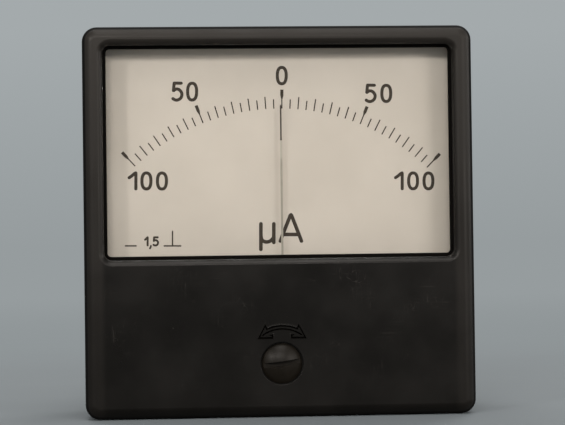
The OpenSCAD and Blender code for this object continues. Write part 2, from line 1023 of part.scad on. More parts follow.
module rear_bridge() {
    color(brass_c)
        on_axis()
            difference() {
                slab(rear_bridge_y, rear_bridge_back_y)
                    rotate(90)
                        bridge_outline(rear_reach);
                rod(rear_bridge_y - past, rear_bridge_back_y + past, jewel_screw_r);
                for (side = [-1, 1])
                    translate([0, 0, side * rear_reach])
                        rod(rear_bridge_y - past, rear_bridge_back_y + past, dial_screw_r + seat_fit);
            }
}

module rear_bridge_screws() {
    color(steel_c)
        on_axis()
            for (side = [-1, 1])
                translate([0, 0, side * rear_reach])
                    rotate([0, 0, 180])
                        screw(-rear_bridge_back_y - bridge_screw_head_t, bridge_screw_head_r,
                              bridge_screw_head_t, dial_screw_r, bridge_t + rear_screw_len);
}

// Screw with a jewel's seat in its end at y 0, running forward
module jewel_screw(len) {
    difference() {
        rod(-len, 0, jewel_screw_r);
        rod(-jewel_t, past, jewel_r);
        translate([0, -len, 0])
            cube([4 * jewel_screw_r, 2 * jewel_slot_depth, jewel_slot_w], center = true);
    }
}

// Jewel with a conical cup that opens toward the coil
module jewel() {
    difference() {
        rod(-jewel_t, 0, jewel_r);
        taper(-jewel_cup_depth, past, jewel_cup_point_r,
              jewel_cup_r * (jewel_cup_depth + past) / jewel_cup_depth);
    }
}

module front_jewel_screw() {
    color(brass_c)
        on_axis()
            translate([0, front_jewel_y, 0])
                jewel_screw(front_jewel_y - front_screw_y);
}

module rear_jewel_screw() {
    color(brass_c)
        on_axis()
            translate([0, rear_jewel_y, 0])
                rotate([0, 0, 180])
                    jewel_screw(rear_screw_y - rear_jewel_y);
}

module front_jewel() {
    color("#8c2b3c")
        on_axis()
            translate([0, front_jewel_y, 0])
                jewel();
}

module rear_jewel() {
    color("#8c2b3c")
        on_axis()
            translate([0, rear_jewel_y, 0])
                rotate([0, 0, 180])
                    jewel();
}

module front_lock_nut() {
    color(brass_c)
        on_axis()
            nut(front_nut_y, front_nut_y + nut_t, nut_r, jewel_screw_r);
}

module rear_lock_nut() {
    color(brass_c)
        on_axis()
            nut(rear_bridge_back_y, rear_bridge_back_y + nut_t, nut_r, jewel_screw_r);
}

module zero_lever() {
    color(brass_c)
        on_axis() {
            slab(lever_y, lever_y + lever_t)
                lever_outline();
            rotate([0, front_tab_turn, 0])
                translate([-tab_w / 2, lever_y + lever_t / 2, front_spring_r + spring_t / 2])
                    cube([tab_w, front_spring_y + spring_w - lever_y - lever_t / 2, tab_t]);
        }
}

// Ring with a forked arm down to the drive pin and a short arm for the hairspring's tab
module lever_outline() {
    difference() {
        union() {
            circle(lever_ring_r);
            rotate(-fork_lean)
                translate([-fork_arm_half, -fork_end_r])
                    square([2 * fork_arm_half, fork_end_r]);
            rotate(-front_tab_turn)
                translate([-tab_w / 2, 0])
                    square([tab_w, front_spring_r + spring_t / 2 + tab_t]);
        }
        circle(hub_r + run_fit);
        rotate(-fork_lean)
            translate([-fork_slot_half, -fork_end_r - past])
                square([2 * fork_slot_half, fork_end_r - fork_root_r + past]);
    }
}

// Rectangular loop round the core, of a given inside and outside
module coil_loop(in_r, wall, w) {
    y_in = in_r - former_in_r + coil_end_gap;
    translate([-in_r - wall, -y_in - wall, -w / 2])
        difference() {
            cube([2 * (in_r + wall), core_len + 2 * (y_in + wall), w]);
            translate([wall, wall, -past])
                cube([2 * in_r, core_len + 2 * y_in, w + 2 * past]);
        }
}

module coil_former() {
    color("#c0c2c4")
        on_axis()
            coil_loop(former_in_r, former_t, former_w);
}

module coil_winding() {
    color("#9c5a2e")
        on_axis()
            coil_loop(former_out_r, winding_t, winding_w);
}

// Pad on the coil with its spindle, pointing forward from y 0
module spindle(len) {
    intersection() {
        rod(-coil_pad_t, 0, coil_pad_r);
        cube([2 * coil_pad_r, 2 * coil_pad_t, winding_w], center = true);
    }
    rod(-len + pivot_tip, -coil_pad_t / 2, spindle_r);
    taper(-len, -len + pivot_tip, pivot_point_r, pivot_root_r);
}

module front_spindle() {
    color(steel_c)
        on_axis()
            translate([0, winding_front_y, 0])
                spindle(winding_front_y - front_jewel_y + jewel_cup_depth - pivot_play);
}

module rear_spindle() {
    color(steel_c)
        on_axis()
            translate([0, winding_back_y, 0])
                rotate([0, 0, 180])
                    spindle(rear_jewel_y - winding_back_y + jewel_cup_depth - pivot_play);
}

module front_collet() {
    color(brass_c)
        on_axis()
            ring(front_spring_y - collet_lead, front_spring_y - collet_lead + collet_t,
                 spindle_r, collet_r);
}

module rear_collet() {
    color(brass_c)
        on_axis()
            ring(rear_spring_y - collet_lead, rear_spring_y - collet_lead + collet_t,
                 spindle_r, collet_r);
}

module pointer() {
    color("#7c776e")
        on_axis()
            difference() {
                union() {
                    rod(hub_plate_y, hub_plate_y + hub_plate_t, hub_plate_r);
                    slab(hub_plate_y, hub_plate_y + hub_plate_t) {
                        translate([-side_arm_r, -arm_w / 2])
                            square([2 * side_arm_r, arm_w]);
                        translate([-arm_w / 2, -tail_r])
                            square([arm_w, tail_r + rise_from_r]);
                    }
                    pointer_rise();
                    slab(pointer_y, pointer_y + blade_t)
                        blade_outline();
                }
                rod(hub_plate_y - past, hub_plate_y + hub_plate_t + past, spindle_r);
            }
}

// Blade and thin tip, from the end of the rise outward
module blade_outline() {
    polygon([
        [-blade_w / 2, rise_to_r - blade_t], [blade_w / 2, rise_to_r - blade_t],
        [blade_w / 2, pointer_r - pointer_tip], [tip_w / 2, pointer_r - pointer_tip + tip_taper],
        [tip_w / 2, pointer_r - tip_point], [0, pointer_r],
        [-tip_w / 2, pointer_r - tip_point], [-tip_w / 2, pointer_r - pointer_tip + tip_taper],
        [-blade_w / 2, pointer_r - pointer_tip]
    ]);
}

// Sloped run that brings the blade in front of the dial
module pointer_rise() {
    run = rise_to_r - rise_from_r;
    back = hub_plate_y + hub_plate_t;
    rotate([90, 0, 90])
        translate([0, 0, -blade_w / 2])
            linear_extrude(blade_w)
                polygon([
                    [back - blade_t, rise_from_r - blade_t], [back, rise_from_r],
                    [pointer_y + blade_t, rise_to_r], [pointer_y, rise_to_r - blade_t],
                    [hub_plate_y, rise_from_r - 2 * blade_t], [back - blade_t, rise_from_r - 3 * blade_t]
                ]);
}

module balance_weights() {
    color(brass_c)
        on_axis() {
            translate([0, hub_plate_y + hub_plate_t / 2, -tail_weight_at - tail_weight_len / 2])
                balance_weight(tail_weight_r, tail_weight_len);
            for (side = [-1, 1])
                translate([side * side_weight_at, hub_plate_y + hub_plate_t / 2, 0])
                    rotate([0, 90, 0])
                        translate([0, 0, -side_weight_len / 2])
                            balance_weight(side_weight_r, side_weight_len);
        }
}

// Round weight along Z with a slot that fits its arm
module balance_weight(r, len) {
    difference() {
        cylinder(h = len, r = r);
        translate([0, 0, len / 2])
            cube([arm_w, hub_plate_t, len + 2 * past], center = true);
    }
}

module front_hairspring() {
    color("#c98f4a")
        on_axis()
            slab(front_spring_y, front_spring_y + spring_w)
                spiral_strip(front_turns, collet_r + spring_t / 2, front_spring_r, front_tab_turn);
}

module rear_hairspring() {
    color("#c98f4a")
        on_axis()
            slab(rear_spring_y, rear_spring_y + spring_w)
                spiral_strip(rear_turns, collet_r + spring_t / 2, rear_spring_r, rear_tab_turn);
}

// Finger on the rear bridge that holds the rear hairspring's end
module rear_spring_tab() {
    color(brass_c)
        on_axis() {
            translate([rear_spring_r + spring_t / 2, rear_spring_y - collet_lead, -tab_w / 2])
                cube([tab_t, rear_bridge_y - rear_spring_y + collet_lead, tab_w]);
            translate([rear_spring_r + spring_t / 2, rear_bridge_y - rear_tab_t, -tab_w / 2])
                cube([tab_reach - rear_spring_r - spring_t / 2, rear_tab_t, tab_w]);
        }
}

module terminal_studs() {
    color(brass_c)
        both_sides(terminal_pitch / 2)
            translate([0, 0, terminal_z]) {
                hex_rod(floor_y - lug_t - head_t, floor_y - lug_t, head_r);
                rod(floor_y - lug_t - head_t / 2, terminal_step_y, terminal_root_r);
                rod(terminal_step_y - past, terminal_step_y + terminal_end - terminal_chamfer, terminal_r);
                taper(terminal_step_y + terminal_end - terminal_chamfer, terminal_step_y + terminal_end,
                      terminal_r, terminal_r - terminal_chamfer);
            }
}

module terminal_washers() {
    color(brass_c)
        both_sides(terminal_pitch / 2)
            translate([0, 0, terminal_z])
                ring(barrel_len + pad_t, barrel_len + pad_t + rear_washer_t,
                     terminal_root_r + seat_fit, washer_r);
}

module terminal_nuts() {
    color(brass_c)
        both_sides(terminal_pitch / 2)
            translate([0, 0, terminal_z])
                nut(terminal_step_y - nut_big_t - nut_spare, terminal_step_y - nut_spare,
                    nut_big_r, terminal_root_r);
}

module solder_lugs() {
    color(steel_c)
        both_sides(terminal_pitch / 2)
            translate([0, 0, terminal_z])
                slab(floor_y - lug_t, floor_y)
                    difference() {
                        union() {
                            circle(head_r);
                            translate([-lug_tail_w / 2, 0])
                                square([lug_tail_w, lug_reach + lug_tail_w / 2]);
                        }
                        circle(terminal_root_r + seat_fit);
                    }
}

module lead_wires() {
    lug = [terminal_pitch / 2, floor_y - lug_t, terminal_z + lug_reach];
    foot_z = axis_z + pillar_r + 2 * wire_r;
    tab_x = axis_x + tab_reach;
    tab_y = rear_bridge_y - wire_r;
    color("#a33a2c") {
        wire([
            [-lug.x, lug.y, lug.z],
            [-lug.x, lug.y - wire_straight, lug.z],
            [-lug.x + wire_pass_in, wire_pass_y, axis_z + wire_pass_up],
            [axis_x - bridge_reach, wire_land_y, foot_z],
            [axis_x - bridge_reach, front_bridge_back_y, foot_z]
        ]);
        wire([
            lug,
            [lug.x, lug.y - wire_straight, lug.z],
            [tab_x + wire_turn_out, tab_y, axis_z + wire_turn_out],
            [tab_x + wire_turn_out / 2, tab_y, axis_z],
            [tab_x, tab_y, axis_z]
        ]);
    }
}

bezel();
window_gasket();
window_glass();
glass_retainer();
zero_adjuster();
adjuster_washer();
adjuster_clip();
case_flange();
case_barrel();
mounting_studs();
bezel_screws();
dial_plate();
dial_posts();
dial_screws();
pointer_stops();
movement_frame();
movement_screws();
yoke_ring();
yoke_screws();
core_magnet();
core_posts();
front_pillars();
front_bridge();
front_bridge_screws();
rear_pillars();
rear_bridge();
rear_bridge_screws();
front_jewel_screw();
rear_jewel_screw();
front_lock_nut();
rear_lock_nut();
front_jewel();
rear_jewel();
zero_lever();
coil_former();
coil_winding();
front_spindle();
rear_spindle();
front_collet();
rear_collet();
pointer();
balance_weights();
front_hairspring();
rear_hairspring();
rear_spring_tab();
terminal_studs();
terminal_washers();
terminal_nuts();
solder_lugs();
lead_wires();
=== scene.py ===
import itertools
import json
import math

import bmesh
import bpy
from mathutils import Matrix, Vector
from mathutils.geometry import delaunay_2d_cdt

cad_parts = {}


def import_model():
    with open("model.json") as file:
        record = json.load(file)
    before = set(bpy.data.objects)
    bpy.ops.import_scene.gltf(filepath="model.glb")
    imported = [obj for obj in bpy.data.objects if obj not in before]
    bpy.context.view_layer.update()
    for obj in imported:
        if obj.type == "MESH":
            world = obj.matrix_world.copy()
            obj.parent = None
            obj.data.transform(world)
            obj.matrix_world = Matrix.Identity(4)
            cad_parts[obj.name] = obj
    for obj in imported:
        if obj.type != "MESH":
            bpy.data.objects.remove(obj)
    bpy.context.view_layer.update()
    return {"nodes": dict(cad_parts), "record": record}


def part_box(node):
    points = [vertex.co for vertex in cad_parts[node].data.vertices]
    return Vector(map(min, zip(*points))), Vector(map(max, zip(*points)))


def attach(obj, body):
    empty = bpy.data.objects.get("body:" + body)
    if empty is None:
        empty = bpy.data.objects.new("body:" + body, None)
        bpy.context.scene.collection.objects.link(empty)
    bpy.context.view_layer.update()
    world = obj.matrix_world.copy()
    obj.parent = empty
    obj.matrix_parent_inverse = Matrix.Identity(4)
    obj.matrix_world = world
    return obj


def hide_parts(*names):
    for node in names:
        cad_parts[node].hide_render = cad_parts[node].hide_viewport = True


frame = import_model()
cad = frame["nodes"]
MM = 0.001

# Main planes and places of the meter, in millimetres: x to the right, y to the rear, z up
HALF = 40
FRONT_Y = -13
WALL_BACK_Y = -10.5
BEZEL_BACK_Y = -3
INNER_HALF = 37.6
WINDOW_HALF_W = 35.9
WINDOW_HALF_H = 21.95
WINDOW_Z = 14.25
WINDOW_CORNER = 1.6
ROLL_W = 1.12
ROLL_DEPTH = 1.05
CORNER_R = 3
EDGE_ROUND = 2
EDGE_INSET = 2.3
FLAT_HALF = HALF - EDGE_INSET
KNOB_Z = -29.05
SEAT_R = 4.35
SEAT_Y = -12
SHANK_HOLE_R = 2.55
AXIS_X = 0.7
AXIS_Z = -20.74
DIAL_Y = -6
BARREL_END_Y = 26


# Materials
class Nodes:
    """A shader tree under construction."""

    def __init__(self, tree):
        self.tree = tree

    def add(self, kind, **props):
        node = self.tree.nodes.new(kind)
        for key, value in props.items():
            setattr(node, key, value)
        return node

    def put(self, socket, value):
        if isinstance(value, bpy.types.NodeSocket):
            self.tree.links.new(value, socket)
        else:
            socket.default_value = value

    def span(self, value, low, high, to_low=0.0, to_high=1.0, smooth=True):
        node = self.add("ShaderNodeMapRange", interpolation_type="SMOOTHSTEP" if smooth else "LINEAR")
        self.put(node.inputs["Value"], value)
        node.inputs["From Min"].default_value = low
        node.inputs["From Max"].default_value = high
        node.inputs["To Min"].default_value = to_low
        node.inputs["To Max"].default_value = to_high
        return node.outputs["Result"]

    def math(self, operation, a, b=0.0):
        node = self.add("ShaderNodeMath", operation=operation)
        for socket, value in zip(node.inputs, (a, b)):
            self.put(socket, value)
        return node.outputs[0]

    def hypot(self, a, b):
        squares = [self.math("MULTIPLY", v, v) for v in (a, b)]
        return self.math("SQRT", self.math("ADD", *squares))

    def mix(self, fac, a, b):
        node = self.add("ShaderNodeMix", data_type="RGBA")
        self.put(node.inputs["Factor"], fac)
        for key, value in (("A", a), ("B", b)):
            socket = [s for s in node.inputs if s.name == key and s.type == "RGBA"][0]
            self.put(socket, value if isinstance(value, bpy.types.NodeSocket) else (*value, 1))
        return [s for s in node.outputs if s.type == "RGBA"][0]

    def shown(self):
        """1 on rays from the camera, in gloss and through glass, 0 on rays that carry light to others."""
        path = self.add("ShaderNodeLightPath")
        direct = self.math("MAXIMUM", path.outputs["Is Camera Ray"], path.outputs["Is Glossy Ray"])
        return self.math("MAXIMUM", direct, path.outputs["Is Transmission Ray"])


class Look(Nodes):
    """A node material under construction, with its coordinates in millimetres."""

    def __init__(self, name):
        self.mat = bpy.data.materials.new(name)
        self.mat.use_nodes = True
        super().__init__(self.mat.node_tree)
        self.bsdf = self.tree.nodes["Principled BSDF"]
        self.out = self.tree.nodes["Material Output"]
        coord = self.add("ShaderNodeTexCoord")
        scale = self.add("ShaderNodeVectorMath", operation="SCALE")
        self.put(scale.inputs[0], coord.outputs["Object"])
        scale.inputs["Scale"].default_value = 1 / MM
        self.mm = scale.outputs[0]

    def set(self, **values):
        """Constants straight on the shader's sockets."""
        for key, value in values.items():
            self.bsdf.inputs[key.replace("_", " ")].default_value = value

    def stretch(self, x, y, z):
        node = self.add("ShaderNodeVectorMath", operation="MULTIPLY")
        self.put(node.inputs[0], self.mm)
        node.inputs[1].default_value = (x, y, z)
        return node.outputs[0]

    def noise(self, size, detail=3.0, rough=0.5, at=None, offset=0.0):
        """Soft noise from 0 to 1 whose blotches are about size millimetres."""
        node = self.add("ShaderNodeTexNoise", noise_dimensions="4D")
        self.put(node.inputs["Vector"], at or self.mm)
        node.inputs["Scale"].default_value = 1 / size
        node.inputs["Detail"].default_value = detail
        node.inputs["Roughness"].default_value = rough
        node.inputs["W"].default_value = offset
        return node.outputs["Fac"]

    def cells(self, size, offset=0.0):
        """Distance to the nearest of scattered points that are about size millimetres apart."""
        node = self.add("ShaderNodeTexVoronoi", voronoi_dimensions="4D")
        self.put(node.inputs["Vector"], self.mm)
        node.inputs["Scale"].default_value = 1 / size
        node.inputs["W"].default_value = offset
        return node.outputs["Distance"]

    def split(self):
        node = self.add("ShaderNodeSeparateXYZ")
        self.put(node.inputs[0], self.mm)
        return node.outputs

    def bump(self, height, depth, normal=None):
        """Bump whose full height is depth millimetres."""
        node = self.add("ShaderNodeBump")
        self.put(node.inputs["Height"], height)
        node.inputs["Strength"].default_value = 1
        node.inputs["Distance"].default_value = depth * MM
        if normal:
            self.put(node.inputs["Normal"], normal)
        return node.outputs["Normal"]

    def use(self, color, rough, normal=None):
        self.put(self.bsdf.inputs["Base Color"], color)
        self.put(self.bsdf.inputs["Roughness"], rough)
        if normal:
            self.put(self.bsdf.inputs["Normal"], normal)
        return self.mat


def srgb(r, g, b):
    """Linear colour from an sRGB colour in 0 to 255."""
    return tuple((c / 255 / 12.92) if c <= 10 else ((c / 255 + 0.055) / 1.055) ** 2.4 for c in (r, g, b))


def times(color, factor):
    return tuple(factor * c for c in color)


# Noise stretches that give hairlines along x, along z and winding ones
HAIR_STRETCHES = ((0.05, 0.3, 1.3), (1.1, 0.3, 0.06), (0.5, 0.3, 0.5))


def hairlines(look, seed):
    """Hairline scratches in patches, as a mask."""
    lines = None
    for turn, stretch in enumerate(HAIR_STRETCHES):
        wave = look.noise(1.0, 1, 0.4, at=look.stretch(*stretch), offset=seed + turn)
        from_middle = look.math("ABSOLUTE", look.math("SUBTRACT", wave, 0.5))
        patch = look.span(look.noise(7, 2, 0.5, offset=seed + 4 + turn), 0.56, 0.68)
        line = look.math("MULTIPLY", look.span(from_middle, 0.005, 0.001), patch)
        lines = line if lines is None else look.math("MAXIMUM", lines, line)
    return lines


# Frame's rails: paler toward the top as painted sheen and duller from handling; and a dark strip of painted
# shade along its outermost edge
RAIL_FROM = 35.4
RAIL_TO = 36.8
RAIL_LOW_Z = -30
RAIL_HIGH_Z = 38
RAIL_LEAST = 0.25
SHEEN_PALER = 3.2
RUB_DULLER = 0.13
STRIP_FROM = 0.78
STRIP_TO = 0.5
STRIP_END_Y = -10.8
STRIP_FADE_Y = -9.2
PAINTED_EDGE_SHADE = 0.2


def frame_wear_and_painted_light(look, tone, shine, color, worn):
    """Rails rubbed duller by handling and painted paler toward the top as sheen, and a dark, dull strip of
    painted shade along the outermost edge.
    """
    x, y, z = look.split()
    # Painted sheen, with handling wear: the rails get a paler colour, strongest on the top rail, and a
    # rougher finish
    sheen_and_rub = look.span(look.math("MAXIMUM", look.math("ABSOLUTE", x), z), RAIL_FROM, RAIL_TO)
    sheen_and_rub = look.math("MULTIPLY", sheen_and_rub, look.span(z, RAIL_LOW_Z, RAIL_HIGH_Z, RAIL_LEAST, 1.0, smooth=False))
    tone = look.mix(sheen_and_rub, tone, times(worn, SHEEN_PALER))
    shine = look.math("ADD", shine, look.math("MULTIPLY", sheen_and_rub, RUB_DULLER))
    # Painted shade: a dark, dull strip along the outermost edge stands in for the edge turning away from the
    # light
    beyond = [look.math("SUBTRACT", look.math("ABSOLUTE", v), HALF - CORNER_R) for v in (x, z)]
    beyond = [look.math("MAXIMUM", v, 0) for v in beyond]
    painted_edge_shade = look.span(look.hypot(*beyond), CORNER_R - STRIP_FROM, CORNER_R - STRIP_TO)
    painted_edge_shade = look.math("MULTIPLY", painted_edge_shade, look.span(y, STRIP_END_Y, STRIP_FADE_Y, 1.0, 0.0))
    return look.mix(painted_edge_shade, tone, times(color, PAINTED_EDGE_SHADE)), look.math("MAXIMUM", shine, painted_edge_shade)


# The warm gloss of the photo's black plastic and pointer, and the colours of dust and scratches
WARM_GLOSS = (1, 0.93, 0.86, 1)
DUST = srgb(96, 90, 82)
SCRATCHED = srgb(90, 84, 77)


def moulded(name, color, worn, rough, seed, gloss=0.4, grain=0.004, scratches=1.0, rails=False):
    """Dark moulded plastic: soft cloudiness, fine grain, dust specks, hairline scratches."""
    look = Look(name)
    cloud = look.noise(14, 4, 0.55, offset=seed)
    fine = look.noise(0.5, 2, 0.6, offset=seed + 1)
    specks = look.span(look.cells(1.9, offset=seed), 0.13, 0.03)
    keep = look.span(look.noise(6, 2, 0.5, offset=seed + 2), 0.52, 0.68)
    specks = look.math("MULTIPLY", specks, keep)
    hair = hairlines(look, seed + 3)
    tone = look.mix(look.span(cloud, 0.3, 0.75), color, worn)
    tone = look.mix(look.math("MULTIPLY", specks, 0.5), tone, DUST)
    tone = look.mix(look.math("MULTIPLY", hair, 0.1 * scratches), tone, SCRATCHED)
    shine = look.math("ADD", look.span(cloud, 0.3, 0.7, rough - 0.05, rough + 0.07),
                      look.math("MULTIPLY", look.math("ADD", specks, hair), 0.15))
    if rails:
        tone, shine = frame_wear_and_painted_light(look, tone, shine, color, worn)
    bump = look.bump(fine, grain)
    bump = look.bump(look.noise(5, 3, 0.5, offset=seed + 4), 0.02, bump)
    look.set(Specular_IOR_Level=gloss, Specular_Tint=WARM_GLOSS)
    return look.use(tone, shine, bump)


def metal(name, color, dark, rough, seed, brushed=(1, 1, 1), size=0.6, depth=0.001, stain=0.4):
    """Metal with a drawn or turned grain, tarnish clouds and small pits."""
    look = Look(name)
    cloud = look.noise(3.5, 4, 0.6, offset=seed)
    grain = look.noise(size, 3, 0.6, at=look.stretch(*brushed), offset=seed + 1)
    pits = look.span(look.cells(0.55, offset=seed), 0.16, 0.05)
    pits = look.math("MULTIPLY", pits, look.span(cloud, 0.5, 0.7))
    tone = look.mix(look.span(cloud, 0.35, 0.75, 0.0, stain), color, dark)
    tone = look.mix(look.math("MULTIPLY", pits, 0.3), tone, dark)
    shine = look.math("ADD", look.span(grain, 0.3, 0.7, rough - 0.07, rough + 0.09),
                      look.math("MULTIPLY", pits, 0.1))
    look.set(Metallic=1.0)
    return look.use(tone, shine, look.bump(grain, depth))


def rubber(name, color, seed):
    look = Look(name)
    cloud = look.noise(2.5, 3, 0.6, offset=seed)
    tone = look.mix(look.span(cloud, 0.3, 0.7), color, times(color, 1.7))
    look.set(Specular_IOR_Level=0.06, Specular_Tint=(1, 0.9, 0.8, 1))
    return look.use(tone, look.span(cloud, 0.3, 0.7, 0.7, 0.85), look.bump(look.noise(0.25, 2, 0.6), 0.01))


def glass():
    """Clear window: a thin surface reflection over a nearly clear body, with faint smears."""
    look = Look("clear_glass")
    smear = look.noise(9, 4, 0.6, at=look.stretch(1, 1, 0.4), offset=5)
    clear = look.add("ShaderNodeBsdfTransparent")
    clear.inputs["Color"].default_value = (0.98, 0.979, 0.973, 1)
    shine = look.add("ShaderNodeBsdfGlossy")
    look.put(shine.inputs["Roughness"], look.span(smear, 0.4, 0.8, 0.02, 0.08))
    shine.inputs["Color"].default_value = (1, 1, 1, 1)
    fresnel = look.add("ShaderNodeFresnel")
    fresnel.inputs["IOR"].default_value = 1.45
    blend = look.add("ShaderNodeMixShader")
    look.put(blend.inputs[0], look.math("MULTIPLY", fresnel.outputs[0], 0.6))
    look.put(blend.inputs[1], clear.outputs[0])
    look.put(blend.inputs[2], shine.outputs[0])
    look.put(look.out.inputs["Surface"], blend.outputs[0])
    look.tree.nodes.remove(look.bsdf)
    return look.mat


def dial_paint():
    """Matt off-white enamel with faint blotches, slightly warmer and greyer toward its left and right as
    painted shade from the frame's side walls.
    """
    look = Look("dial_enamel")
    x, _, z = look.split()
    side = look.span(look.math("ABSOLUTE", x), 26, 37)
    cloud = look.noise(11, 4, 0.6, offset=2)
    fine = look.noise(0.35, 2, 0.6, offset=4)
    # Painted shade: the tone turns greyer toward the left and right, where the frame's side walls shade the
    # dial, broken into blotches
    painted_side_shade = look.math("MULTIPLY", side, look.span(cloud, 0.2, 0.8, 0.4, 1.0))
    tone = look.mix(look.span(cloud, 0.3, 0.7), srgb(209, 198, 185), srgb(203, 192, 179))
    tone = look.mix(look.math("MULTIPLY", painted_side_shade, 0.3), tone, srgb(186, 174, 157))
    speck = look.span(look.cells(2.6, offset=9), 0.075, 0.03)
    speck = look.math("MULTIPLY", speck, look.span(look.noise(8, 2, 0.5, offset=7), 0.55, 0.7))
    tone = look.mix(look.math("MULTIPLY", speck, 0.35), tone, srgb(130, 118, 98))
    look.set(Specular_IOR_Level=0.25)
    return look.use(tone, look.span(fine, 0.3, 0.7, 0.55, 0.68), look.bump(fine, 0.004))


def ink(name, color, seed):
    """Printing ink, a little uneven."""
    look = Look(name)
    cloud = look.noise(0.8, 3, 0.6, offset=seed)
    tone = look.mix(look.span(cloud, 0.25, 0.75), color, times(color, 1.25))
    look.set(Specular_IOR_Level=0.15)
    return look.use(tone, look.span(cloud, 0.3, 0.7, 0.5, 0.65), look.bump(cloud, 0.002))


def pointer_look():
    """Lacquered aluminium blade that gets paler before its dark end."""
    look = Look("pointer_lacquer")
    place = look.add("ShaderNodeVectorMath", operation="SUBTRACT")
    look.put(place.inputs[0], look.stretch(1, 0, 1))
    place.inputs[1].default_value = (AXIS_X, 0, AXIS_Z)
    reach = look.add("ShaderNodeVectorMath", operation="LENGTH")
    look.put(reach.inputs[0], place.outputs[0])
    dark_end = look.span(reach.outputs["Value"], 37.45, 37.6)
    pale_part = look.span(reach.outputs["Value"], 33.2, 34.2)
    cloud = look.noise(1.2, 3, 0.6, offset=3)
    arm = look.mix(look.span(cloud, 0.3, 0.7), srgb(165, 158, 144), srgb(152, 145, 132))
    tone = look.mix(dark_end, look.mix(pale_part, arm, srgb(182, 174, 160)), srgb(58, 47, 37))
    look.set(Specular_IOR_Level=0.25, Specular_Tint=WARM_GLOSS)
    return look.use(tone, look.span(cloud, 0.3, 0.7, 0.42, 0.55), look.bump(cloud, 0.003))


def ruby():
    look = Look("ruby")
    cloud = look.noise(0.4, 2, 0.5, offset=1)
    tone = look.mix(look.span(cloud, 0.3, 0.7), srgb(150, 18, 40), srgb(185, 30, 55))
    look.set(Specular_IOR_Level=0.8, IOR=1.76, Transmission_Weight=0.25)
    return look.use(tone, look.span(cloud, 0.3, 0.7, 0.06, 0.12), look.bump(cloud, 0.001))


def enamelled_wire():
    look = Look("enamelled_copper")
    cloud = look.noise(0.5, 3, 0.6, offset=6)
    tone = look.mix(look.span(cloud, 0.3, 0.7), srgb(168, 84, 40), srgb(120, 52, 24))
    look.set(Metallic=0.6, Coat_Weight=0.4, Coat_Roughness=0.2)
    return look.use(tone, look.span(cloud, 0.3, 0.7, 0.3, 0.42), look.bump(cloud, 0.004))


def sleeve():
    look = Look("wire_sleeve")
    cloud = look.noise(0.7, 3, 0.6, offset=8)
    tone = look.mix(look.span(cloud, 0.3, 0.7), srgb(163, 50, 40), srgb(132, 38, 32))
    look.set(Specular_IOR_Level=0.4)
    return look.use(tone, look.span(cloud, 0.3, 0.7, 0.4, 0.5), look.bump(cloud, 0.006))


BLACK = (0.0025, 0.002, 0.0016)
WORN_BLACK = (0.0046, 0.0038, 0.0031)
LOOKS = {
    "front_plastic": moulded("front_black", BLACK, WORN_BLACK, 0.32, 1, gloss=0.2, rails=True),
    "case_plastic": moulded("case_black", BLACK, WORN_BLACK, 0.42, 20, gloss=0.28, grain=0.007),
    "gasket_rubber": rubber("gasket_black", (0.0013, 0.001, 0.0008), 3),
    "window_glass": glass(),
    "retainer_plastic": moulded("retainer_black", BLACK, WORN_BLACK, 0.5, 30),
    "adjuster_plastic": moulded("adjuster_brown", srgb(17, 14, 10), srgb(27, 22, 16), 0.42, 40,
                                gloss=0.14, scratches=2.0),
    "spring_steel": metal("spring_steel", srgb(168, 168, 166), srgb(110, 108, 104), 0.3, 1),
    "stud_steel": metal("zinc_steel", srgb(188, 186, 176), srgb(128, 124, 112), 0.34, 2),
    "screw_steel": metal("screw_steel", srgb(176, 175, 172), srgb(112, 110, 106), 0.3, 3),
    "dial_paint": dial_paint(),
    "movement_brass": metal("movement_brass", srgb(204, 172, 104), srgb(140, 108, 60), 0.27, 4),
    "frame_aluminium": metal("frame_aluminium", srgb(196, 197, 198), srgb(140, 140, 140), 0.38, 5,
                             brushed=(0.15, 1, 1)),
    "yoke_iron": metal("yoke_iron", srgb(138, 136, 133), srgb(82, 76, 70), 0.42, 6),
    "magnet_alloy": metal("magnet_alloy", srgb(120, 119, 118), srgb(80, 78, 76), 0.36, 7,
                          size=0.9, depth=0.01),
    "jewel": ruby(),
    "former_aluminium": metal("former_aluminium", srgb(202, 203, 204), srgb(150, 150, 150), 0.3, 8),
    "copper_wire": enamelled_wire(),
    "spindle_steel": metal("spindle_steel", srgb(190, 190, 190), srgb(130, 130, 130), 0.18, 9),
    "pointer_aluminium": pointer_look(),
    "spring_bronze": metal("spring_bronze", srgb(196, 148, 96), srgb(140, 98, 60), 0.26, 10),
    "terminal_brass": metal("nickelled_brass", srgb(206, 188, 140), srgb(146, 122, 78), 0.3, 11),
    "lug_tin": metal("lug_tin", srgb(190, 190, 188), srgb(130, 128, 124), 0.36, 12),
    "wire_sleeve": sleeve(),
}
INK = ink("scale_ink", srgb(52, 41, 29), 1)
MARK = moulded("raised_mark", WORN_BLACK, srgb(60, 57, 53), 0.5, 60)


# Mesh helpers, with the mitres of an offset limited to a multiple of its distance
NEARLY_STRAIGHT = 0.985
MITRE_LIMIT = 2


def in_scene(name, data):
    obj = bpy.data.objects.new(name, data)
    bpy.context.scene.collection.objects.link(obj)
    return obj


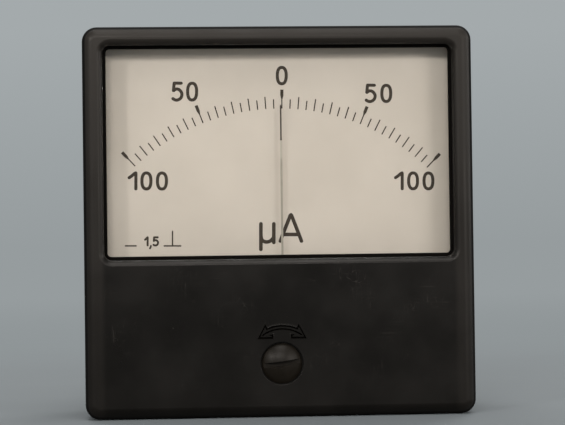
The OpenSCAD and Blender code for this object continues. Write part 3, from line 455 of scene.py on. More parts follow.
def piece(name, bm, slot, body, stands_for=(), look=None, sharp=32):
    """Makes a shown piece from a bmesh in millimetres and lets it ride on a body.

    Edges that turn by more than sharp degrees stay sharp, and the material is the slot's own or look.
    """
    bmesh.ops.remove_doubles(bm, verts=bm.verts, dist=1e-5)
    bmesh.ops.recalc_face_normals(bm, faces=bm.faces)
    bmesh.ops.scale(bm, vec=(MM,) * 3, verts=bm.verts)
    mesh = bpy.data.meshes.new(name)
    bm.to_mesh(mesh)
    bm.free()
    mesh.polygons.foreach_set("use_smooth", [True] * len(mesh.polygons))
    mesh.set_sharp_from_angle(angle=math.radians(sharp))
    mesh.materials.append(look or LOOKS[slot])
    obj = in_scene(name, mesh)
    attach(obj, body)
    if stands_for:
        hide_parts(*stands_for)
    return obj


def soften(obj, width, angle):
    """Rounds the edges that turn by more than angle degrees, over width millimetres."""
    bevel = obj.modifiers.new("edges", "BEVEL")
    bevel.width = width * MM
    bevel.segments = 2
    bevel.limit_method = "ANGLE"
    bevel.angle_limit = math.radians(angle)
    return bevel


def even_shading(obj):
    obj.modifiers.new("even_normals", "WEIGHTED_NORMAL").keep_sharp = True


def rect_loop(half_w, half_h, r, mid_z=0.0, steps=8, cuts=10):
    """Points all round a rounded rectangle, as many for the same steps per corner and cuts per side."""
    points = []
    for k, (sx, sz) in enumerate(((1, 1), (-1, 1), (-1, -1), (1, -1))):
        cx, cz = sx * (half_w - r), mid_z + sz * (half_h - r)
        for i in range(steps + 1):
            a = math.radians(90 * (k + i / steps))
            points.append((cx + r * math.cos(a), cz + r * math.sin(a)))
        x0, z0 = points[-1]
        nx, nz = ((-1, 1), (-1, -1), (1, -1), (1, 1))[k]
        a = math.radians(90 * (k + 1))
        x1 = nx * (half_w - r) + r * math.cos(a)
        z1 = mid_z + nz * (half_h - r) + r * math.sin(a)
        for i in range(1, cuts):
            points.append((x0 + (x1 - x0) * i / cuts, z0 + (z1 - z0) * i / cuts))
    return points


def circle_loop(cx, cz, r, count=64):
    turns = [math.tau * i / count for i in range(count)]
    return [(cx + r * math.cos(a), cz + r * math.sin(a)) for a in turns]


def ring_of(bm, loop, y):
    return [bm.verts.new((x, y, z)) for x, z in loop]


def bridge(bm, a, b):
    n = len(a)
    for i in range(n):
        j = (i + 1) % n
        bm.faces.new((a[i], a[j], b[j], b[i]))


def bridge_round(bm, rings):
    """Surface through rings of vertices, with the last one joined to the first."""
    for a, b in zip(rings, rings[1:] + rings[:1]):
        bridge(bm, a, b)


def inside(loop, x, z):
    hit = False
    for (x0, z0), (x1, z1) in zip(loop, loop[1:] + loop[:1]):
        if (z0 > z) != (z1 > z) and x < x0 + (x1 - x0) * (z - z0) / (z1 - z0):
            hit = not hit
    return hit


def plane_fill(bm, outer, holes, rings, spots, y_at):
    """Fills the plane between an outer ring and holes, through more rings and loose points.

    outer is a pair (loop, vertices), and holes and rings are lists of such pairs. A ring may have a height
    in place of its vertices.
    """
    points, edges, verts = [], [], []
    for loop, made in [outer, *holes, *rings]:
        first = len(points)
        points += [Vector(p) for p in loop]
        edges += [(first + i, first + (i + 1) % len(loop)) for i in range(len(loop))]
        verts += made if isinstance(made, list) else [bm.verts.new((x, made, z)) for x, z in loop]
    for x, z in spots:
        points.append(Vector((x, z)))
        verts.append(bm.verts.new((x, y_at, z)))
    out, _, faces, origin, _, _ = delaunay_2d_cdt(points, edges, [], 0, 1e-7)
    place = []
    for p, source in zip(out, origin):
        place.append(verts[source[0]] if source else bm.verts.new((p.x, y_at, p.y)))
    for face in faces:
        cx = sum(out[i].x for i in face) / 3
        cz = sum(out[i].y for i in face) / 3
        if inside(outer[0], cx, cz) and not any(inside(h[0], cx, cz) for h in holes):
            corners = [place[i] for i in face]
            if len(set(corners)) == 3:
                bm.faces.new(corners)


def offset(loop, apart):
    """The closed loop moved to its left by a distance per edge, with limited mitres."""
    n = len(loop)
    moved = []
    for i in range(n):
        p, a, b = (Vector(loop[k % n]) for k in (i, i - 1, i + 1))
        u, v = (p - a).normalized(), (b - p).normalized()
        nu, nv = Vector((-u.y, u.x)), Vector((-v.y, v.x))
        du, dv = apart[i - 1], apart[i]
        c = nu.dot(nv)
        if c > NEARLY_STRAIGHT:
            m = (nu + nv).normalized() * (du + dv) / 2
        else:
            m = (nu * (du - c * dv) + nv * (dv - c * du)) / (1 - c * c)
        most = MITRE_LIMIT * max(abs(du), abs(dv))
        moved.append(tuple(p + m * min(1, most / m.length)))
    return moved


def box(bm, lo, hi):
    for v in bmesh.ops.create_cube(bm, size=1)["verts"]:
        v.co = Vector(lo[k] + (hi[k] - lo[k]) * (v.co[k] + 0.5) for k in range(3))


# Front frame: its outer and window edges as superellipse quarters, and the arrow's groove and rim
SIDE_ROWS_Y = (-5, -8)
EDGE_POWER = 1.7
EDGE_STEPS = 14
ROLL_STEPS = 10
ROLL_POWER = 1.55
LIP_STEPS = 4
RIM_CREST = 0.09
RIM_OUT = 0.4
RIM_HOLD = 0.08
RIM_UP = 0.045
RIM_SLOPE = 3
GROOVE_DEPTH = 0.42
SEAT_LIP = 0.08

# Rings and loose points that keep the triangles of the flat front even, clear of the seat and the arrow
HOLD = 0.05
HOLD_CUTS = 12
SPOT_STEP = 3
SPOT_COLUMNS = range(-12, 13)
SPOT_ROWS = range(-12, -3)
SPOT_DOWN = 1
SEAT_GAP = 0.8
EDGE_GAP = 0.6
ARROW_ZONE = [(-6.4, -20), (6.4, -20), (6.4, -25.2), (-6.4, -25.2)]

# Inside of the front wall: the rib under the glass and the two screw bosses
POCKET_CORNER = 1
RIB_Z = -9.95
RIB_HALF = 0.7
RIB_BACK_Y = -7.6
BOSS_X = 24
BOSS_Z = -35.8
BOSS_R = 2.6
BOSS_LOW_Z = -38.4
BOSS_SIDES = 32
EMBED = 1

# Double arrow over the adjuster: its middle, the arcs' radii and ends, the right head from the inner arc on
ARROW_X = 0.08
ARROW_OUT_R = 7.62
ARROW_IN_R = 7.0
ARROW_JOIN_X = 3.12
ARROW_NOTCH_X = 3.8
ARROW_HEAD = [(3.93, -23.3), (1.97, -23.3), (1.97, -23.85), (4.75, -23.85), (3.42, -21.37)]
ARC_STEPS = 16
FINE_LINE = 0.135
MID_LINE = 0.165
BOLD_LINE = 0.215


def arc_over_adjuster(r, from_x, to_x):
    xs = [from_x + (to_x - from_x) * i / ARC_STEPS for i in range(ARC_STEPS + 1)]
    return [(x, KNOB_Z + math.sqrt(r * r - x * x)) for x in xs]


def arrow_outline():
    """Outline of the double arrow, anticlockwise, and each edge's half width of groove."""
    right = ARROW_HEAD
    left = [(-x, z) for x, z in reversed(ARROW_HEAD)]
    lower = arc_over_adjuster(ARROW_IN_R, -ARROW_NOTCH_X, ARROW_NOTCH_X)
    upper = arc_over_adjuster(ARROW_OUT_R, ARROW_JOIN_X, -ARROW_JOIN_X)
    loop = [(x + ARROW_X, z) for x, z in lower + right + upper + left]
    lines = ([MID_LINE] * (len(lower) + 2) + [BOLD_LINE]
             + [FINE_LINE] * (len(upper) + 3) + [BOLD_LINE] + [MID_LINE] * 3)
    return loop, lines


def outer_edge(bm):
    """Outer side and rounded front edge of the frame; returns its rear ring and its flat front's outline."""
    rear = ring_of(bm, rect_loop(HALF, HALF, CORNER_R), BEZEL_BACK_Y)
    last = rear
    for y in (*SIDE_ROWS_Y, FRONT_Y + EDGE_ROUND):
        ring = ring_of(bm, rect_loop(HALF, HALF, CORNER_R), y)
        bridge(bm, last, ring)
        last = ring
    for i in range(1, EDGE_STEPS + 1):
        a = math.radians(90 * i / EDGE_STEPS)
        inset = EDGE_INSET * (1 - max(math.cos(a), 0) ** (2 / EDGE_POWER))
        ring = ring_of(bm, rect_loop(HALF - inset, HALF - inset, CORNER_R - inset),
                       FRONT_Y + EDGE_ROUND * (1 - math.sin(a) ** (2 / EDGE_POWER)))
        bridge(bm, last, ring)
        last = ring
    return rear, (rect_loop(FLAT_HALF, FLAT_HALF, CORNER_R - EDGE_INSET), last)


def window_loop(grow):
    return rect_loop(WINDOW_HALF_W + grow, WINDOW_HALF_H + grow, WINDOW_CORNER + grow, WINDOW_Z)


def window_edge(bm):
    """The window's rolled edge and wall; returns (loop, ring) on the flat front and on the wall's back."""
    front = window_loop(ROLL_W), ring_of(bm, window_loop(ROLL_W), FRONT_Y)
    last = front[1]
    for i in range(1, ROLL_STEPS + 1):
        a = math.radians(90 * i / ROLL_STEPS)
        grow = ROLL_W * (1 - math.sin(a) ** (2 / ROLL_POWER))
        down = ROLL_DEPTH * (1 - max(math.cos(a), 0) ** (2 / ROLL_POWER))
        ring = ring_of(bm, window_loop(grow), FRONT_Y + down)
        bridge(bm, last, ring)
        last = ring
    back = window_loop(0), ring_of(bm, window_loop(0), WALL_BACK_Y)
    bridge(bm, last, back[1])
    return front, back


def adjuster_seat(bm):
    """A small round lip, the seat's wall and floor, and the bore; returns (loop, ring) of its two ends."""
    lip = circle_loop(0, KNOB_Z, SEAT_R + SEAT_LIP)
    front = lip, ring_of(bm, lip, FRONT_Y)
    last = front[1]
    steps = []
    for i in range(1, LIP_STEPS + 1):
        a = math.radians(90 * i / LIP_STEPS)
        steps.append((SEAT_R + SEAT_LIP * (1 - math.sin(a)), FRONT_Y + SEAT_LIP * (1 - math.cos(a))))
    steps += [(SEAT_R, SEAT_Y), (SHANK_HOLE_R, SEAT_Y), (SHANK_HOLE_R, WALL_BACK_Y)]
    for r, y in steps:
        ring = ring_of(bm, circle_loop(0, KNOB_Z, r), y)
        bridge(bm, last, ring)
        last = ring
    return front, (circle_loop(0, KNOB_Z, SHANK_HOLE_R), last)


def arrow_rings(bm):
    """Rings of the double arrow's groove and its rim, which rises slightly where the outline faces up."""
    arrow, lines = arrow_outline()
    crest = offset(arrow, [-w - RIM_CREST for w in lines])
    facing_up = [(q[1] - p[1]) / math.dist(p, q) for p, q in zip(arrow, crest)]
    rise = [RIM_UP * max(0, min(1, RIM_SLOPE * up)) for up in facing_up]
    crest_ring = [bm.verts.new((x, FRONT_Y - up, z)) for (x, z), up in zip(crest, rise)]
    return [(offset(arrow, [-w - RIM_OUT - RIM_HOLD for w in lines]), FRONT_Y),
            (offset(arrow, [-w - RIM_OUT for w in lines]), FRONT_Y),
            (crest, crest_ring),
            (offset(arrow, [-w for w in lines]), FRONT_Y),
            (arrow, FRONT_Y + GROOVE_DEPTH),
            (offset(arrow, lines), FRONT_Y)]


def front_spots():
    """Loose points on the lower panel."""
    keep_out = circle_loop(0, KNOB_Z, SEAT_R + SEAT_GAP)
    grid = [(i * SPOT_STEP, k * SPOT_STEP - SPOT_DOWN) for i in SPOT_COLUMNS for k in SPOT_ROWS]
    return [(x, z) for x, z in grid if abs(z) < FLAT_HALF - EDGE_GAP
            and not inside(keep_out, x, z) and not inside(ARROW_ZONE, x, z)]


def rib_and_bosses(bm):
    box(bm, (-INNER_HALF - EMBED, WALL_BACK_Y - EMBED, RIB_Z - RIB_HALF),
        (INNER_HALF + EMBED, RIB_BACK_Y, RIB_Z + RIB_HALF))
    for side in (-1, 1):
        x = BOSS_X * side
        box(bm, (x - BOSS_R, WALL_BACK_Y - EMBED, BOSS_LOW_Z), (x + BOSS_R, BEZEL_BACK_Y, BOSS_Z))
        ends = [ring_of(bm, circle_loop(x, BOSS_Z, BOSS_R, BOSS_SIDES), y)
                for y in (WALL_BACK_Y - EMBED, BEZEL_BACK_Y)]
        bridge(bm, *ends)
        for end in ends:
            bm.faces.new(end)


def front_frame():
    bm = bmesh.new()
    rear, outline = outer_edge(bm)
    window_front, window_back = window_edge(bm)
    seat_front, bore_back = adjuster_seat(bm)

    rings = arrow_rings(bm)
    held = FLAT_HALF - HOLD
    rings.append((rect_loop(held, held, CORNER_R - EDGE_INSET, cuts=HOLD_CUTS), FRONT_Y))
    rings.append((window_loop(ROLL_W + HOLD), FRONT_Y))
    rings.append((circle_loop(0, KNOB_Z, SEAT_R + SEAT_LIP + HOLD), FRONT_Y))
    plane_fill(bm, outline, [window_front, seat_front], rings, front_spots(), FRONT_Y)

    pocket_loop = rect_loop(INNER_HALF, INNER_HALF, POCKET_CORNER)
    pocket = ring_of(bm, pocket_loop, WALL_BACK_Y)
    plane_fill(bm, (pocket_loop, pocket), [window_back, bore_back], [], [], WALL_BACK_Y)
    pocket_rear = ring_of(bm, pocket_loop, BEZEL_BACK_Y)
    bridge(bm, pocket, pocket_rear)
    bridge(bm, pocket_rear, rear)
    rib_and_bosses(bm)
    even_shading(piece("front_frame", bm, "front_plastic", "housing", ["bezel"]))


front_frame()


# Window seal: its lip inside the window's sides, half the extra at its lower side, and its corners
SEAL_LIP = 0.66
SEAL_SAG = 0.05
SEAL_CORNER = 0.75
SEAL_OUTER_CORNER = 1
SEAL_ROUND = 0.08


def window_seal():
    """Rubber seal between the frame's wall and the glass; its softened lip shows round the dial."""
    bm = bmesh.new()
    low, high = (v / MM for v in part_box("window_gasket"))
    outer = rect_loop((high.x - low.x) / 2, (high.z - low.z) / 2, SEAL_OUTER_CORNER, (low.z + high.z) / 2)
    lip_w = WINDOW_HALF_W - SEAL_LIP
    lip_h = WINDOW_HALF_H - SEAL_LIP - SEAL_SAG
    rings = [ring_of(bm, outer, y) for y in (high.y, low.y)]
    for y, out in ((low.y, SEAL_ROUND), (low.y + SEAL_ROUND, 0),
                   (high.y - SEAL_ROUND, 0), (high.y, SEAL_ROUND)):
        lip = rect_loop(lip_w + out, lip_h + out, SEAL_CORNER + out, WINDOW_Z + SEAL_SAG)
        rings.append(ring_of(bm, lip, y))
    bridge_round(bm, rings)
    piece("window_seal", bm, "gasket_rubber", "housing", ["window_gasket"])


window_seal()


# Dial print: its middle and turn on the dial, its marks as radii and half widths, and its strokes
PRINT_X = 0.4
PRINT_Z = -20.69
PRINT_TURN = math.radians(0.83)
PRINT_Y = DIAL_Y - 0.012
PRINT_T = 0.01
BASE_R = 44.15
MARK_END = 46.1
EVEN_MARK_END = 46.7
THICK_FROM = 46.9
TENTH_MARK_END = 48.1
DIVISION = math.radians(2.176)
DIVISIONS_EACH_WAY = 20
MARK_THIN = 0.125
MARK_THICK = 0.33
STROKE = 0.66
SMOOTH_TURN = 0.9
DISC_SIDES = 20


def on_dial(x, z):
    """From the print's own frame to the dial's plane."""
    c, s = math.cos(PRINT_TURN), math.sin(PRINT_TURN)
    return PRINT_X + x * c + z * s, PRINT_Z - x * s + z * c


def ink_solid(bm, shapes, y=PRINT_Y, t=PRINT_T, place=on_dial):
    """A thin solid over the union of outlines."""
    points, faces = [], []
    for shape in shapes:
        faces.append(list(range(len(points), len(points) + len(shape))))
        points += [Vector(p) for p in shape]
    out, _, triangles, _, _, origin = delaunay_2d_cdt(points, [], faces, 1, 1e-5)
    front, back = [], []
    for p in out:
        x, z = place(*p)
        front.append(bm.verts.new((x, y, z)))
        back.append(bm.verts.new((x, y + t, z)))
    rim = {}
    for corners, source in zip(triangles, origin):
        if not source:
            continue
        bm.faces.new([front[i] for i in corners])
        bm.faces.new([back[i] for i in reversed(corners)])
        for a, b in zip(corners, corners[1:] + corners[:1]):
            key = (min(a, b), max(a, b))
            rim[key] = None if key in rim else (a, b)
    for pair in rim.values():
        if pair:
            a, b = pair
            bm.faces.new((front[b], front[a], back[a], back[b]))
    spare = [v for v in front + back if not v.link_faces]
    bmesh.ops.delete(bm, geom=spare, context="VERTS")


def stroke(path, width, closed=False):
    """Outlines that together cover a line: one per step, and a disc at each end and sharp turn."""
    pts = [Vector(p) for p in path]
    n = len(pts)
    count = n if closed else n - 1
    r = width / 2
    ways = [(pts[(i + 1) % n] - pts[i]).normalized() for i in range(count)]
    left = [Vector((-way.y, way.x)) for way in ways]
    shapes = []

    def joint(before, after):
        """Half width across a joint where the line turns little."""
        m = (left[before] + left[after]).normalized()
        return m * (r / m.dot(left[after]))

    for i in range(count):
        j = (i + 1) % n
        before = (i - 1) % count if closed or i > 0 else None
        after = (i + 1) % count if closed or i < count - 1 else None
        smooth_in = before is not None and ways[before].dot(ways[i]) > SMOOTH_TURN
        smooth_out = after is not None and ways[after].dot(ways[i]) > SMOOTH_TURN
        start = joint(before, i) if smooth_in else left[i] * r
        end = joint(i, after) if smooth_out else left[i] * r
        shapes.append([tuple(q) for q in (pts[i] - start, pts[j] - end, pts[j] + end, pts[i] + start)])
        if not smooth_in:
            shapes.append(circle_loop(*pts[i], r, DISC_SIDES))
        if not smooth_out:
            shapes.append(circle_loop(*pts[j], r, DISC_SIDES))
    return shapes


def curve(points, steps=6):
    """Smooth path through points."""
    n = len(points)
    out = []
    for i in range(n - 1):
        p0, p1, p2, p3 = (Vector(points[min(max(k, 0), n - 1)]) for k in (i - 1, i, i + 1, i + 2))
        for s in range(steps):
            t = s / steps
            out.append(tuple(0.5 * (2 * p1 + (p2 - p0) * t + (2 * p0 - 5 * p1 + 4 * p2 - p3) * t * t
                                    + (3 * p1 - p0 - 3 * p2 + p3) * t ** 3)))
    out.append(tuple(points[-1]))
    return out


def oval(steps=40, square=2.35):
    out = []
    for i in range(steps):
        a = math.tau * i / steps
        c, s = math.cos(a), math.sin(a)
        out.append((0.5 + 0.5 * math.copysign(abs(c) ** (2 / square), c),
                    0.5 + 0.5 * math.copysign(abs(s) ** (2 / square), s)))
    return out


# Strokes of each sign on a square from 0 to 1, as (path, closed)
SIGNS = {
    "0": [(oval(), True)],
    "1": [(curve([(0, 0.7), (0.35, 0.8), (0.72, 0.94)]) + [(0.98, 1), (1, 0.97), (1, 0)], False)],
    "5": [([(0.92, 1), (0.14, 1), (0.06, 0.56)]
           + curve([(0.1, 0.56), (0.34, 0.645), (0.66, 0.62), (0.93, 0.47), (1, 0.3),
                    (0.88, 0.12), (0.6, 0.01), (0.3, -0.01), (0, 0.07)], 5), False)],
    "mu": [([(0, 1), (0, 0.5), (0, 0)], False),
           ([(0, 1), (0, 0.52)]
            + curve([(0, 0.52), (0.1, 0.36), (0.4, 0.29), (0.74, 0.33), (1, 0.47)], 5), False),
           ([(1, 1), (1, 0.5), (1, 0.27)], False)],
    "A": [([(0, 0), (0.24, 0.5), (0.47, 0.975), (0.5, 1), (0.53, 0.975), (0.76, 0.5), (1, 0)], False),
          ([(0.15, 0.25), (0.5, 0.25), (0.85, 0.25)], False)],
}


def sign(name, x0, x1, z0, z1, width=STROKE):
    """Outlines of a sign whose inked edge fills the box."""
    r = width / 2
    shapes = []
    for path, closed in SIGNS[name]:
        pts = [(x0 + r + (x1 - x0 - width) * u, z0 + r + (z1 - z0 - width) * v) for u, v in path]
        shapes += stroke(pts, width, closed)
    return shapes


def scale_mark(k):
    """Outline of mark k from the middle: every tenth is long and thickened, every second a little longer."""
    a = k * DIVISION

    def at(r, off):
        return r * math.sin(a) + off * math.cos(a), r * math.cos(a) - off * math.sin(a)

    if k % 10 == 0:
        sides = [(BASE_R, MARK_THIN), (MARK_END, MARK_THIN),
                 (THICK_FROM, MARK_THICK), (TENTH_MARK_END, MARK_THICK)]
    else:
        sides = [(BASE_R, MARK_THIN), (MARK_END if k % 2 else EVEN_MARK_END, MARK_THIN)]
    return [at(r, off) for r, off in sides] + [at(r, -off) for r, off in reversed(sides)]


def scale_print():
    bm = bmesh.new()
    for k in range(-DIVISIONS_EACH_WAY, DIVISIONS_EACH_WAY + 1):
        ink_solid(bm, [scale_mark(k)])
    even_shading(piece("scale_marks", bm, "dial_paint", "housing", look=INK))


def figures_print():
    """The scale's figures, by their left, lower and upper edges."""
    bm = bmesh.new()
    digit_w = 2.52
    for name, x, z0, z1 in (
            ("0", -1.29, 48.99, 53.05),
            ("5", -22.97, 45.48, 49.62), ("0", -19.92, 45.48, 49.62),
            ("5", 17.32, 45.44, 49.47), ("0", 20.59, 45.44, 49.47),
            ("0", -29.33, 26.98, 30.95), ("0", -26.12, 26.98, 30.95),
            ("0", 26.23, 27.2, 31.17), ("0", 29.46, 27.2, 31.17)):
        ink_solid(bm, sign(name, x, x + digit_w, z0, z1))
    one_w = 2.06
    ink_solid(bm, sign("1", -31.97, -31.97 + one_w, 26.98, 30.95))
    ink_solid(bm, sign("1", 23.47, 23.47 + one_w, 27.2, 31.17))
    piece("scale_figures", bm, "dial_paint", "housing", look=INK)


def unit_print():
    bm = bmesh.new()
    width = 0.76
    ink_solid(bm, sign("mu", -4.7, -1.26, 14.46, 20.52, width))
    ink_solid(bm, sign("A", -0.66, 4.52, 16.2, 22.4, width))
    piece("unit_sign", bm, "dial_paint", "housing", look=INK)


def small_signs():
    """Direct current, accuracy class and upright use."""
    bm = bmesh.new()
    fine = 0.3
    bold = 0.42
    low = 15.42
    ink_solid(bm, stroke([(-32.35, low + 0.1), (-30.15, low + 0.1)], fine))
    ink_solid(bm, sign("1", -28.52, -27.57, low, 17.5, bold))
    ink_solid(bm, stroke([(-27.1, low + 0.12), (-27.12, low - 0.1), (-27.3, low - 0.42)], bold * 0.9))
    ink_solid(bm, sign("5", -26.78, -25.42, low, 17.5, bold))
    ink_solid(bm, stroke([(-24.35, low + 0.1), (-20.95, low + 0.1)], fine)
              + stroke([(-22.65, low + 0.1), (-22.65, 18.55)], fine))
    piece("class_signs", bm, "dial_paint", "housing", look=INK)


scale_print()
figures_print()
unit_print()
small_signs()


# Fasteners
STUD_AT = 33
STUD_R = 1.5
STUD_ROOT_R = 1.7
STUD_END_Y = 14
STUD_HEAD_R = 2.7
STUD_HEAD_T = 1.6
STUD_SUNK = 0.2
FLANGE_FRONT_Y = -3
TERMINAL_X = 15
TERMINAL_Z = -6
TERMINAL_STEP_Y = 30.5
TERMINAL_END_Y = 36
TERMINAL_R = 2
TERMINAL_ROOT_R = 2.5
TERMINAL_HEAD_R = 4.2
TERMINAL_HEAD_T = 2.2
NUT_FRONT_Y = 27.6
NUT_BACK_Y = 30.3
NUT_CORNER_R = 4.6
THREAD_SIDES = 24
NUT_SIDES = 72

# Where a nut's chamfers begin as a share of its flats, its bore's lead, unseen bores in heads and shanks
CHAMFER_SHARE = 0.97
BORE_LEAD = 0.25
HEAD_BORE_R = 0.9
SHANK_BORE_R = 0.8

# Threads: their depth as a share of the pitch, how far they reach into the shank, pitches and end chamfers
THREAD_DEPTH = 0.6
THREAD_OVERLAP = 0.4
STUD_PITCH = 0.5
STUD_CHAMFER = 0.4
TERMINAL_PITCH = 0.7
TERMINAL_CHAMFER = 0.5


def threaded(bm, cx, cz, y0, y1, r, pitch, chamfer):
    """A rod with a helical thread, closed at both ends."""
    root = r - THREAD_DEPTH * pitch
    rows = 2 * math.ceil((y1 - y0) / pitch) + 4
    columns = []
    for i in range(THREAD_SIDES + 1):
        a = math.tau * i / THREAD_SIDES
        column = []
        for j in range(rows):
            y = min(max(y0 + pitch * (j / 2 - 1 + i / THREAD_SIDES), y0), y1)
            here = r if j % 2 else root
            here = min(here, r - chamfer + (y1 - y), r - chamfer + (y - y0))
            column.append(bm.verts.new((cx + here * math.cos(a), y, cz + here * math.sin(a))))
        columns.append(column)
    for left, right in zip(columns, columns[1:]):
        for j in range(rows - 1):
            bm.faces.new((left[j], left[j + 1], right[j + 1], right[j]))
    end = circle_loop(cx, cz, r - chamfer, THREAD_SIDES)
    for y in (y0, y1):
        bm.faces.new(ring_of(bm, end, y))


def nut_ring(bm, cx, cz, r, y):
    return ring_of(bm, circle_loop(cx, cz, r, NUT_SIDES), y)


def turned(bm, cx, cz, rows):
    """A closed turned ring from rows of (radius, y)."""
    bridge_round(bm, [nut_ring(bm, cx, cz, r, y) for r, y in rows])


def hexagon_ring(bm, cx, cz, flat, y, lean):
    """A hexagon's edge on the face at y, running off its corners to the rear (1) or to the front (-1)."""
    ring = []
    for i in range(NUT_SIDES):
        a = math.tau * i / NUT_SIDES
        r = flat / math.cos((a % (math.pi / 3)) - math.pi / 6)
        down = (r - CHAMFER_SHARE * flat) * math.tan(math.pi / 6)
        ring.append(bm.verts.new((cx + r * math.cos(a), y + lean * down, cz + r * math.sin(a))))
    return ring


def hexagon(bm, cx, cz, y0, y1, corner_r, bore_r):
    """A nut or head with its corners chamfered on both faces."""
    flat = corner_r * math.cos(math.pi / 6)
    face = CHAMFER_SHARE * flat
    lead = bore_r + BORE_LEAD
    rings = [nut_ring(bm, cx, cz, lead, y0), nut_ring(bm, cx, cz, face, y0),
             hexagon_ring(bm, cx, cz, flat, y0, 1), hexagon_ring(bm, cx, cz, flat, y1, -1),
             nut_ring(bm, cx, cz, face, y1), nut_ring(bm, cx, cz, lead, y1),
             nut_ring(bm, cx, cz, bore_r, y1 - BORE_LEAD), nut_ring(bm, cx, cz, bore_r, y0 + BORE_LEAD)]
    bridge_round(bm, rings)


def mounting_studs():
    bm = bmesh.new()
    shank_y = FLANGE_FRONT_Y + STUD_SUNK
    for x, z in itertools.product((-STUD_AT, STUD_AT), repeat=2):
        hexagon(bm, x, z, FLANGE_FRONT_Y, FLANGE_FRONT_Y + STUD_HEAD_T, STUD_HEAD_R, HEAD_BORE_R)
        turned(bm, x, z, [(SHANK_BORE_R, shank_y), (STUD_ROOT_R, shank_y),
                          (STUD_ROOT_R, 0), (SHANK_BORE_R, 0)])
        threaded(bm, x, z, -THREAD_OVERLAP, STUD_END_Y, STUD_R, STUD_PITCH, STUD_CHAMFER)
    piece("stud_threads", bm, "stud_steel", "housing", ["mounting_studs"], sharp=50)


def terminal_studs():
    bm = bmesh.new()
    head_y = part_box("terminal_studs")[0].y / MM
    shank_y = head_y + STUD_SUNK
    for side in (-1, 1):
        x, z = TERMINAL_X * side, TERMINAL_Z
        hexagon(bm, x, z, head_y, head_y + TERMINAL_HEAD_T, TERMINAL_HEAD_R, HEAD_BORE_R)
        turned(bm, x, z, [(SHANK_BORE_R, shank_y), (TERMINAL_ROOT_R, shank_y),
                          (TERMINAL_ROOT_R, TERMINAL_STEP_Y), (SHANK_BORE_R, TERMINAL_STEP_Y)])
        threaded(bm, x, z, TERMINAL_STEP_Y - THREAD_OVERLAP, TERMINAL_END_Y,
                 TERMINAL_R, TERMINAL_PITCH, TERMINAL_CHAMFER)
    piece("terminal_threads", bm, "terminal_brass", "housing", ["terminal_studs"], sharp=50)


def terminal_nuts():
    bm = bmesh.new()
    for side in (-1, 1):
        hexagon(bm, TERMINAL_X * side, TERMINAL_Z, NUT_FRONT_Y, NUT_BACK_Y, NUT_CORNER_R, TERMINAL_ROOT_R)
    piece("terminal_hex_nuts", bm, "terminal_brass", "housing", ["terminal_nuts"], sharp=25)


# Coil winding: its inner sizes, place and build, and the dips at a wire's shoulders and between two wires
COIL_HALF_X = 7.8
COIL_HALF_Y = 7
COIL_Y = 6
COIL_CORNER = 0.15
COIL_WALL = 0.9
COIL_WIDTH = 2.4
COIL_TURNS = 12
COIL_LAYERS = 5
WIRE_SHOULDER = 0.15
SHOULDER_DIP = 0.028
VALLEY_DIP = 0.0616


def wire_bumps(count):
    """Rows (place from 0 to 1, depth) across wires that lie side by side."""
    rows = []
    for k in range(count):
        rows += [((k + WIRE_SHOULDER) / count, SHOULDER_DIP), ((k + 0.5) / count, 0),
                 ((k + 1 - WIRE_SHOULDER) / count, SHOULDER_DIP), ((k + 1) / count, VALLEY_DIP)]
    return rows[:-1]


def coil_winding():
    """Turns of enamelled wire side by side on the former, with the layers' ends showing."""
    bm = bmesh.new()
    half = COIL_WIDTH / 2
    layers = wire_bumps(COIL_LAYERS)
    turns = wire_bumps(COIL_TURNS)
    section = ([(0, -half)]
               + [(COIL_WALL * t, -half + dip) for t, dip in layers]
               + [(COIL_WALL - dip, COIL_WIDTH * (t - 0.5)) for t, dip in turns]
               + [(COIL_WALL * (1 - t), half - dip) for t, dip in layers]
               + [(0, half)])
    rings = []
    for out, z in section:
        loop = rect_loop(COIL_HALF_X + out, COIL_HALF_Y + out, COIL_CORNER + out, COIL_Y, 4, 6)
        rings.append([bm.verts.new((AXIS_X + x, y, AXIS_Z + z)) for x, y in loop])
    bridge_round(bm, rings)
    piece("coil_turns", bm, "copper_wire", "moving_coil", ["coil_winding"], sharp=60)


# Plus and minus: their height over the terminals, half length, width, thickness, sunk part and rounding
MARK_UP = 10
MARK_ARM = 1.9
MARK_W = 1
MARK_T = 0.45
MARK_SUNK = 0.1
MARK_ROUND = 0.1


def terminal_marks():
    """Plus and minus, raised on the rear wall over the terminals."""
    bm = bmesh.new()
    z = TERMINAL_Z + MARK_UP
    for side in (-1, 1):
        x = TERMINAL_X * side
        shapes = stroke([(x - MARK_ARM, z), (x + MARK_ARM, z)], MARK_W)
        if side > 0:
            shapes += stroke([(x, z - MARK_ARM), (x, z + MARK_ARM)], MARK_W)
        ink_solid(bm, shapes, BARREL_END_Y - MARK_SUNK, MARK_T, lambda u, v: (u, v))
    soften(piece("terminal_marks", bm, "case_plastic", "housing", look=MARK), MARK_ROUND, 50)


mounting_studs()
terminal_studs()
terminal_nuts()
coil_winding()
terminal_marks()


# Widths in millimetres over which the sharp edges of CAD nodes are softened
SHARP_EDGES = {
    "zero_adjuster": 0.12, "case_flange": 0.2, "case_barrel": 0.25, "terminal_washers": 0.12,
    "dial_plate": 0.08, "yoke_ring": 0.15, "movement_frame": 0.12, "core_magnet": 0.2,
    "front_bridge": 0.08, "rear_bridge": 0.08, "bezel_screws": 0.1, "dial_screws": 0.06,
    "front_lock_nut": 0.08, "rear_lock_nut": 0.08, "solder_lugs": 0.06,
    "glass_retainer": 0.06, "zero_lever": 0.06, "movement_screws": 0.08, "yoke_screws": 0.06,
}
slot_of = {row["node"]: row["material_slot"] for row in frame["record"]["subparts"]}


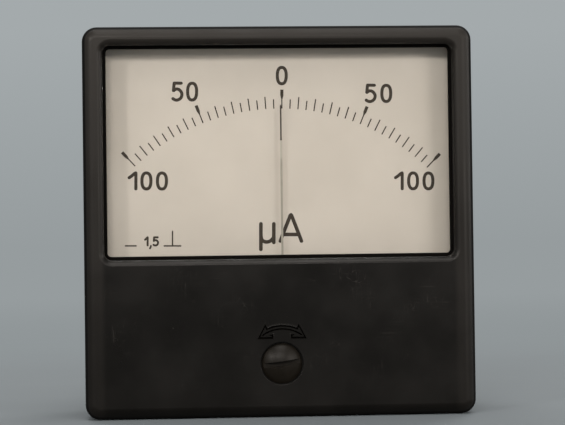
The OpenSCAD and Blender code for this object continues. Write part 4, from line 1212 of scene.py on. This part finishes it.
def dress(name, obj):
    """Gives a CAD node its material and, where it's listed, its softened edges."""
    for material_slot in obj.material_slots:
        material_slot.material = LOOKS[slot_of[name]]
    if name in SHARP_EDGES:
        bevel = soften(obj, SHARP_EDGES[name], 40)
        bevel.harden_normals = True
        bevel.use_clamp_overlap = True


for name, obj in cad.items():
    dress(name, obj)


# Floor, light and camera
PALE = srgb(150, 156, 158)
PALE_UP = srgb(164, 170, 172)
PALE_LOW = srgb(143, 149, 151)
PALE_RISE = 0.12
AMBIENT = 0.5
FLOOR_R = 900
FLOOR_DROP = 0.1
SHADOW_FULL_R = 60
SHADOW_GONE_R = 300
GLOW_R = 200
LAMP_FAR = 1.2
LAMP_NEAR = 0.7


def stage_look():
    """Pale floor that keeps the shadow near the object and turns into the background further out."""
    look = Look("floor_pale")
    x, y, _ = look.split()
    away = look.hypot(x, y)
    far = look.span(away, SHADOW_FULL_R, SHADOW_GONE_R)
    glow = look.add("ShaderNodeEmission")
    look.put(glow.inputs["Color"], look.mix(look.span(away, GLOW_R, FLOOR_R), PALE_LOW, PALE))
    cloud = look.noise(60, 3, 0.5, offset=11)
    look.set(Specular_IOR_Level=0.1)
    look.use(look.mix(cloud, times(PALE, 0.43), times(PALE, 0.48)), 0.9)
    blend = look.add("ShaderNodeMixShader")
    look.put(blend.inputs[0], look.math("MULTIPLY", far, look.shown()))
    look.put(blend.inputs[1], look.bsdf.outputs[0])
    look.put(blend.inputs[2], glow.outputs[0])
    look.put(look.out.inputs["Surface"], blend.outputs[0])
    return look.mat


def floor():
    bm = bmesh.new()
    bmesh.ops.create_circle(bm, cap_ends=True, segments=96, radius=FLOOR_R * MM)
    bmesh.ops.translate(bm, verts=bm.verts, vec=(0, 0, -(HALF + FLOOR_DROP) * MM))
    mesh = bpy.data.meshes.new("floor")
    bm.to_mesh(mesh)
    bm.free()
    mesh.materials.append(stage_look())
    obj = in_scene("floor", mesh)


def world():
    """Ambient light, and for what looks at it a pale background that gets a little lighter upward."""
    sky = bpy.data.worlds.new("studio")
    bpy.context.scene.world = sky
    sky.use_nodes = True
    nodes = Nodes(sky.node_tree)
    coord = nodes.add("ShaderNodeTexCoord")
    parts = nodes.add("ShaderNodeSeparateXYZ")
    nodes.put(parts.inputs[0], coord.outputs["Generated"])
    rise = nodes.span(parts.outputs["Z"], 0, PALE_RISE, smooth=False)
    color = nodes.mix(nodes.shown(), (AMBIENT,) * 3, nodes.mix(rise, PALE, PALE_UP))
    nodes.put(nodes.tree.nodes["Background"].inputs["Color"], color)


def lamp(name, azimuth, elevation, distance, width, height, power):
    """A soft lamp that faces the meter's middle, placed in degrees and metres, with its power in watts."""
    light = bpy.data.lights.new(name, "AREA")
    light.shape = "RECTANGLE"
    light.size = width
    light.size_y = height
    light.energy = power
    obj = in_scene(name, light)
    a, e = math.radians(azimuth), math.radians(elevation)
    away = Vector((math.sin(a) * math.cos(e), -math.cos(a) * math.cos(e), math.sin(e)))
    obj.location = away * distance
    obj.rotation_euler = away.to_track_quat("Z", "Y").to_euler()


floor()
world()
lamp("lamp_key", -8, 23, LAMP_NEAR, 0.3, 0.08, 1.72)
lamp("lamp_right", 38, 13, LAMP_NEAR, 0.22, 0.07, 1.48)
lamp("lamp_far_left", -40, 20, LAMP_FAR, 0.1, 0.12, 4.4)
lamp("lamp_top", 0, 66, LAMP_FAR, 0.5, 0.9, 6.6)
lamp("lamp_side", 85, 14, LAMP_FAR, 0.25, 0.3, 3.4)
lamp("fill_back_left", -155, 52, LAMP_FAR, 0.5, 0.6, 5.0)
lamp("fill_back_right", 150, 46, LAMP_FAR, 0.4, 0.5, 6.0)


def camera():
    """The photograph's viewpoint, fitted to the front's and the dial's outline."""
    focal_px = 1760.4
    frame_w_px = 565
    turn_x, turn_y, turn_z = (math.radians(v) for v in (-1.01566707, -3.39384766, -0.74271767))
    axes = Matrix(((1, 0, 0), (0, 0, -1), (0, 1, 0)))
    turn = (Matrix.Rotation(turn_z, 3, "Z") @ Matrix.Rotation(turn_x, 3, "X")
            @ Matrix.Rotation(turn_y, 3, "Y") @ axes)
    right, down, ahead = turn
    place = Vector((-20.773, -371.375, -4.68)) * MM
    data = bpy.data.cameras.new("camera")
    data.sensor_width = 36
    data.lens = focal_px * data.sensor_width / frame_w_px
    data.clip_start = 0.01
    obj = in_scene("camera", data)
    pose = Matrix((right, -down, -ahead)).transposed().to_4x4()
    pose.translation = place
    obj.matrix_world = pose
    bpy.context.scene.camera = obj


camera()
bpy.context.scene.view_settings.view_transform = "Standard"
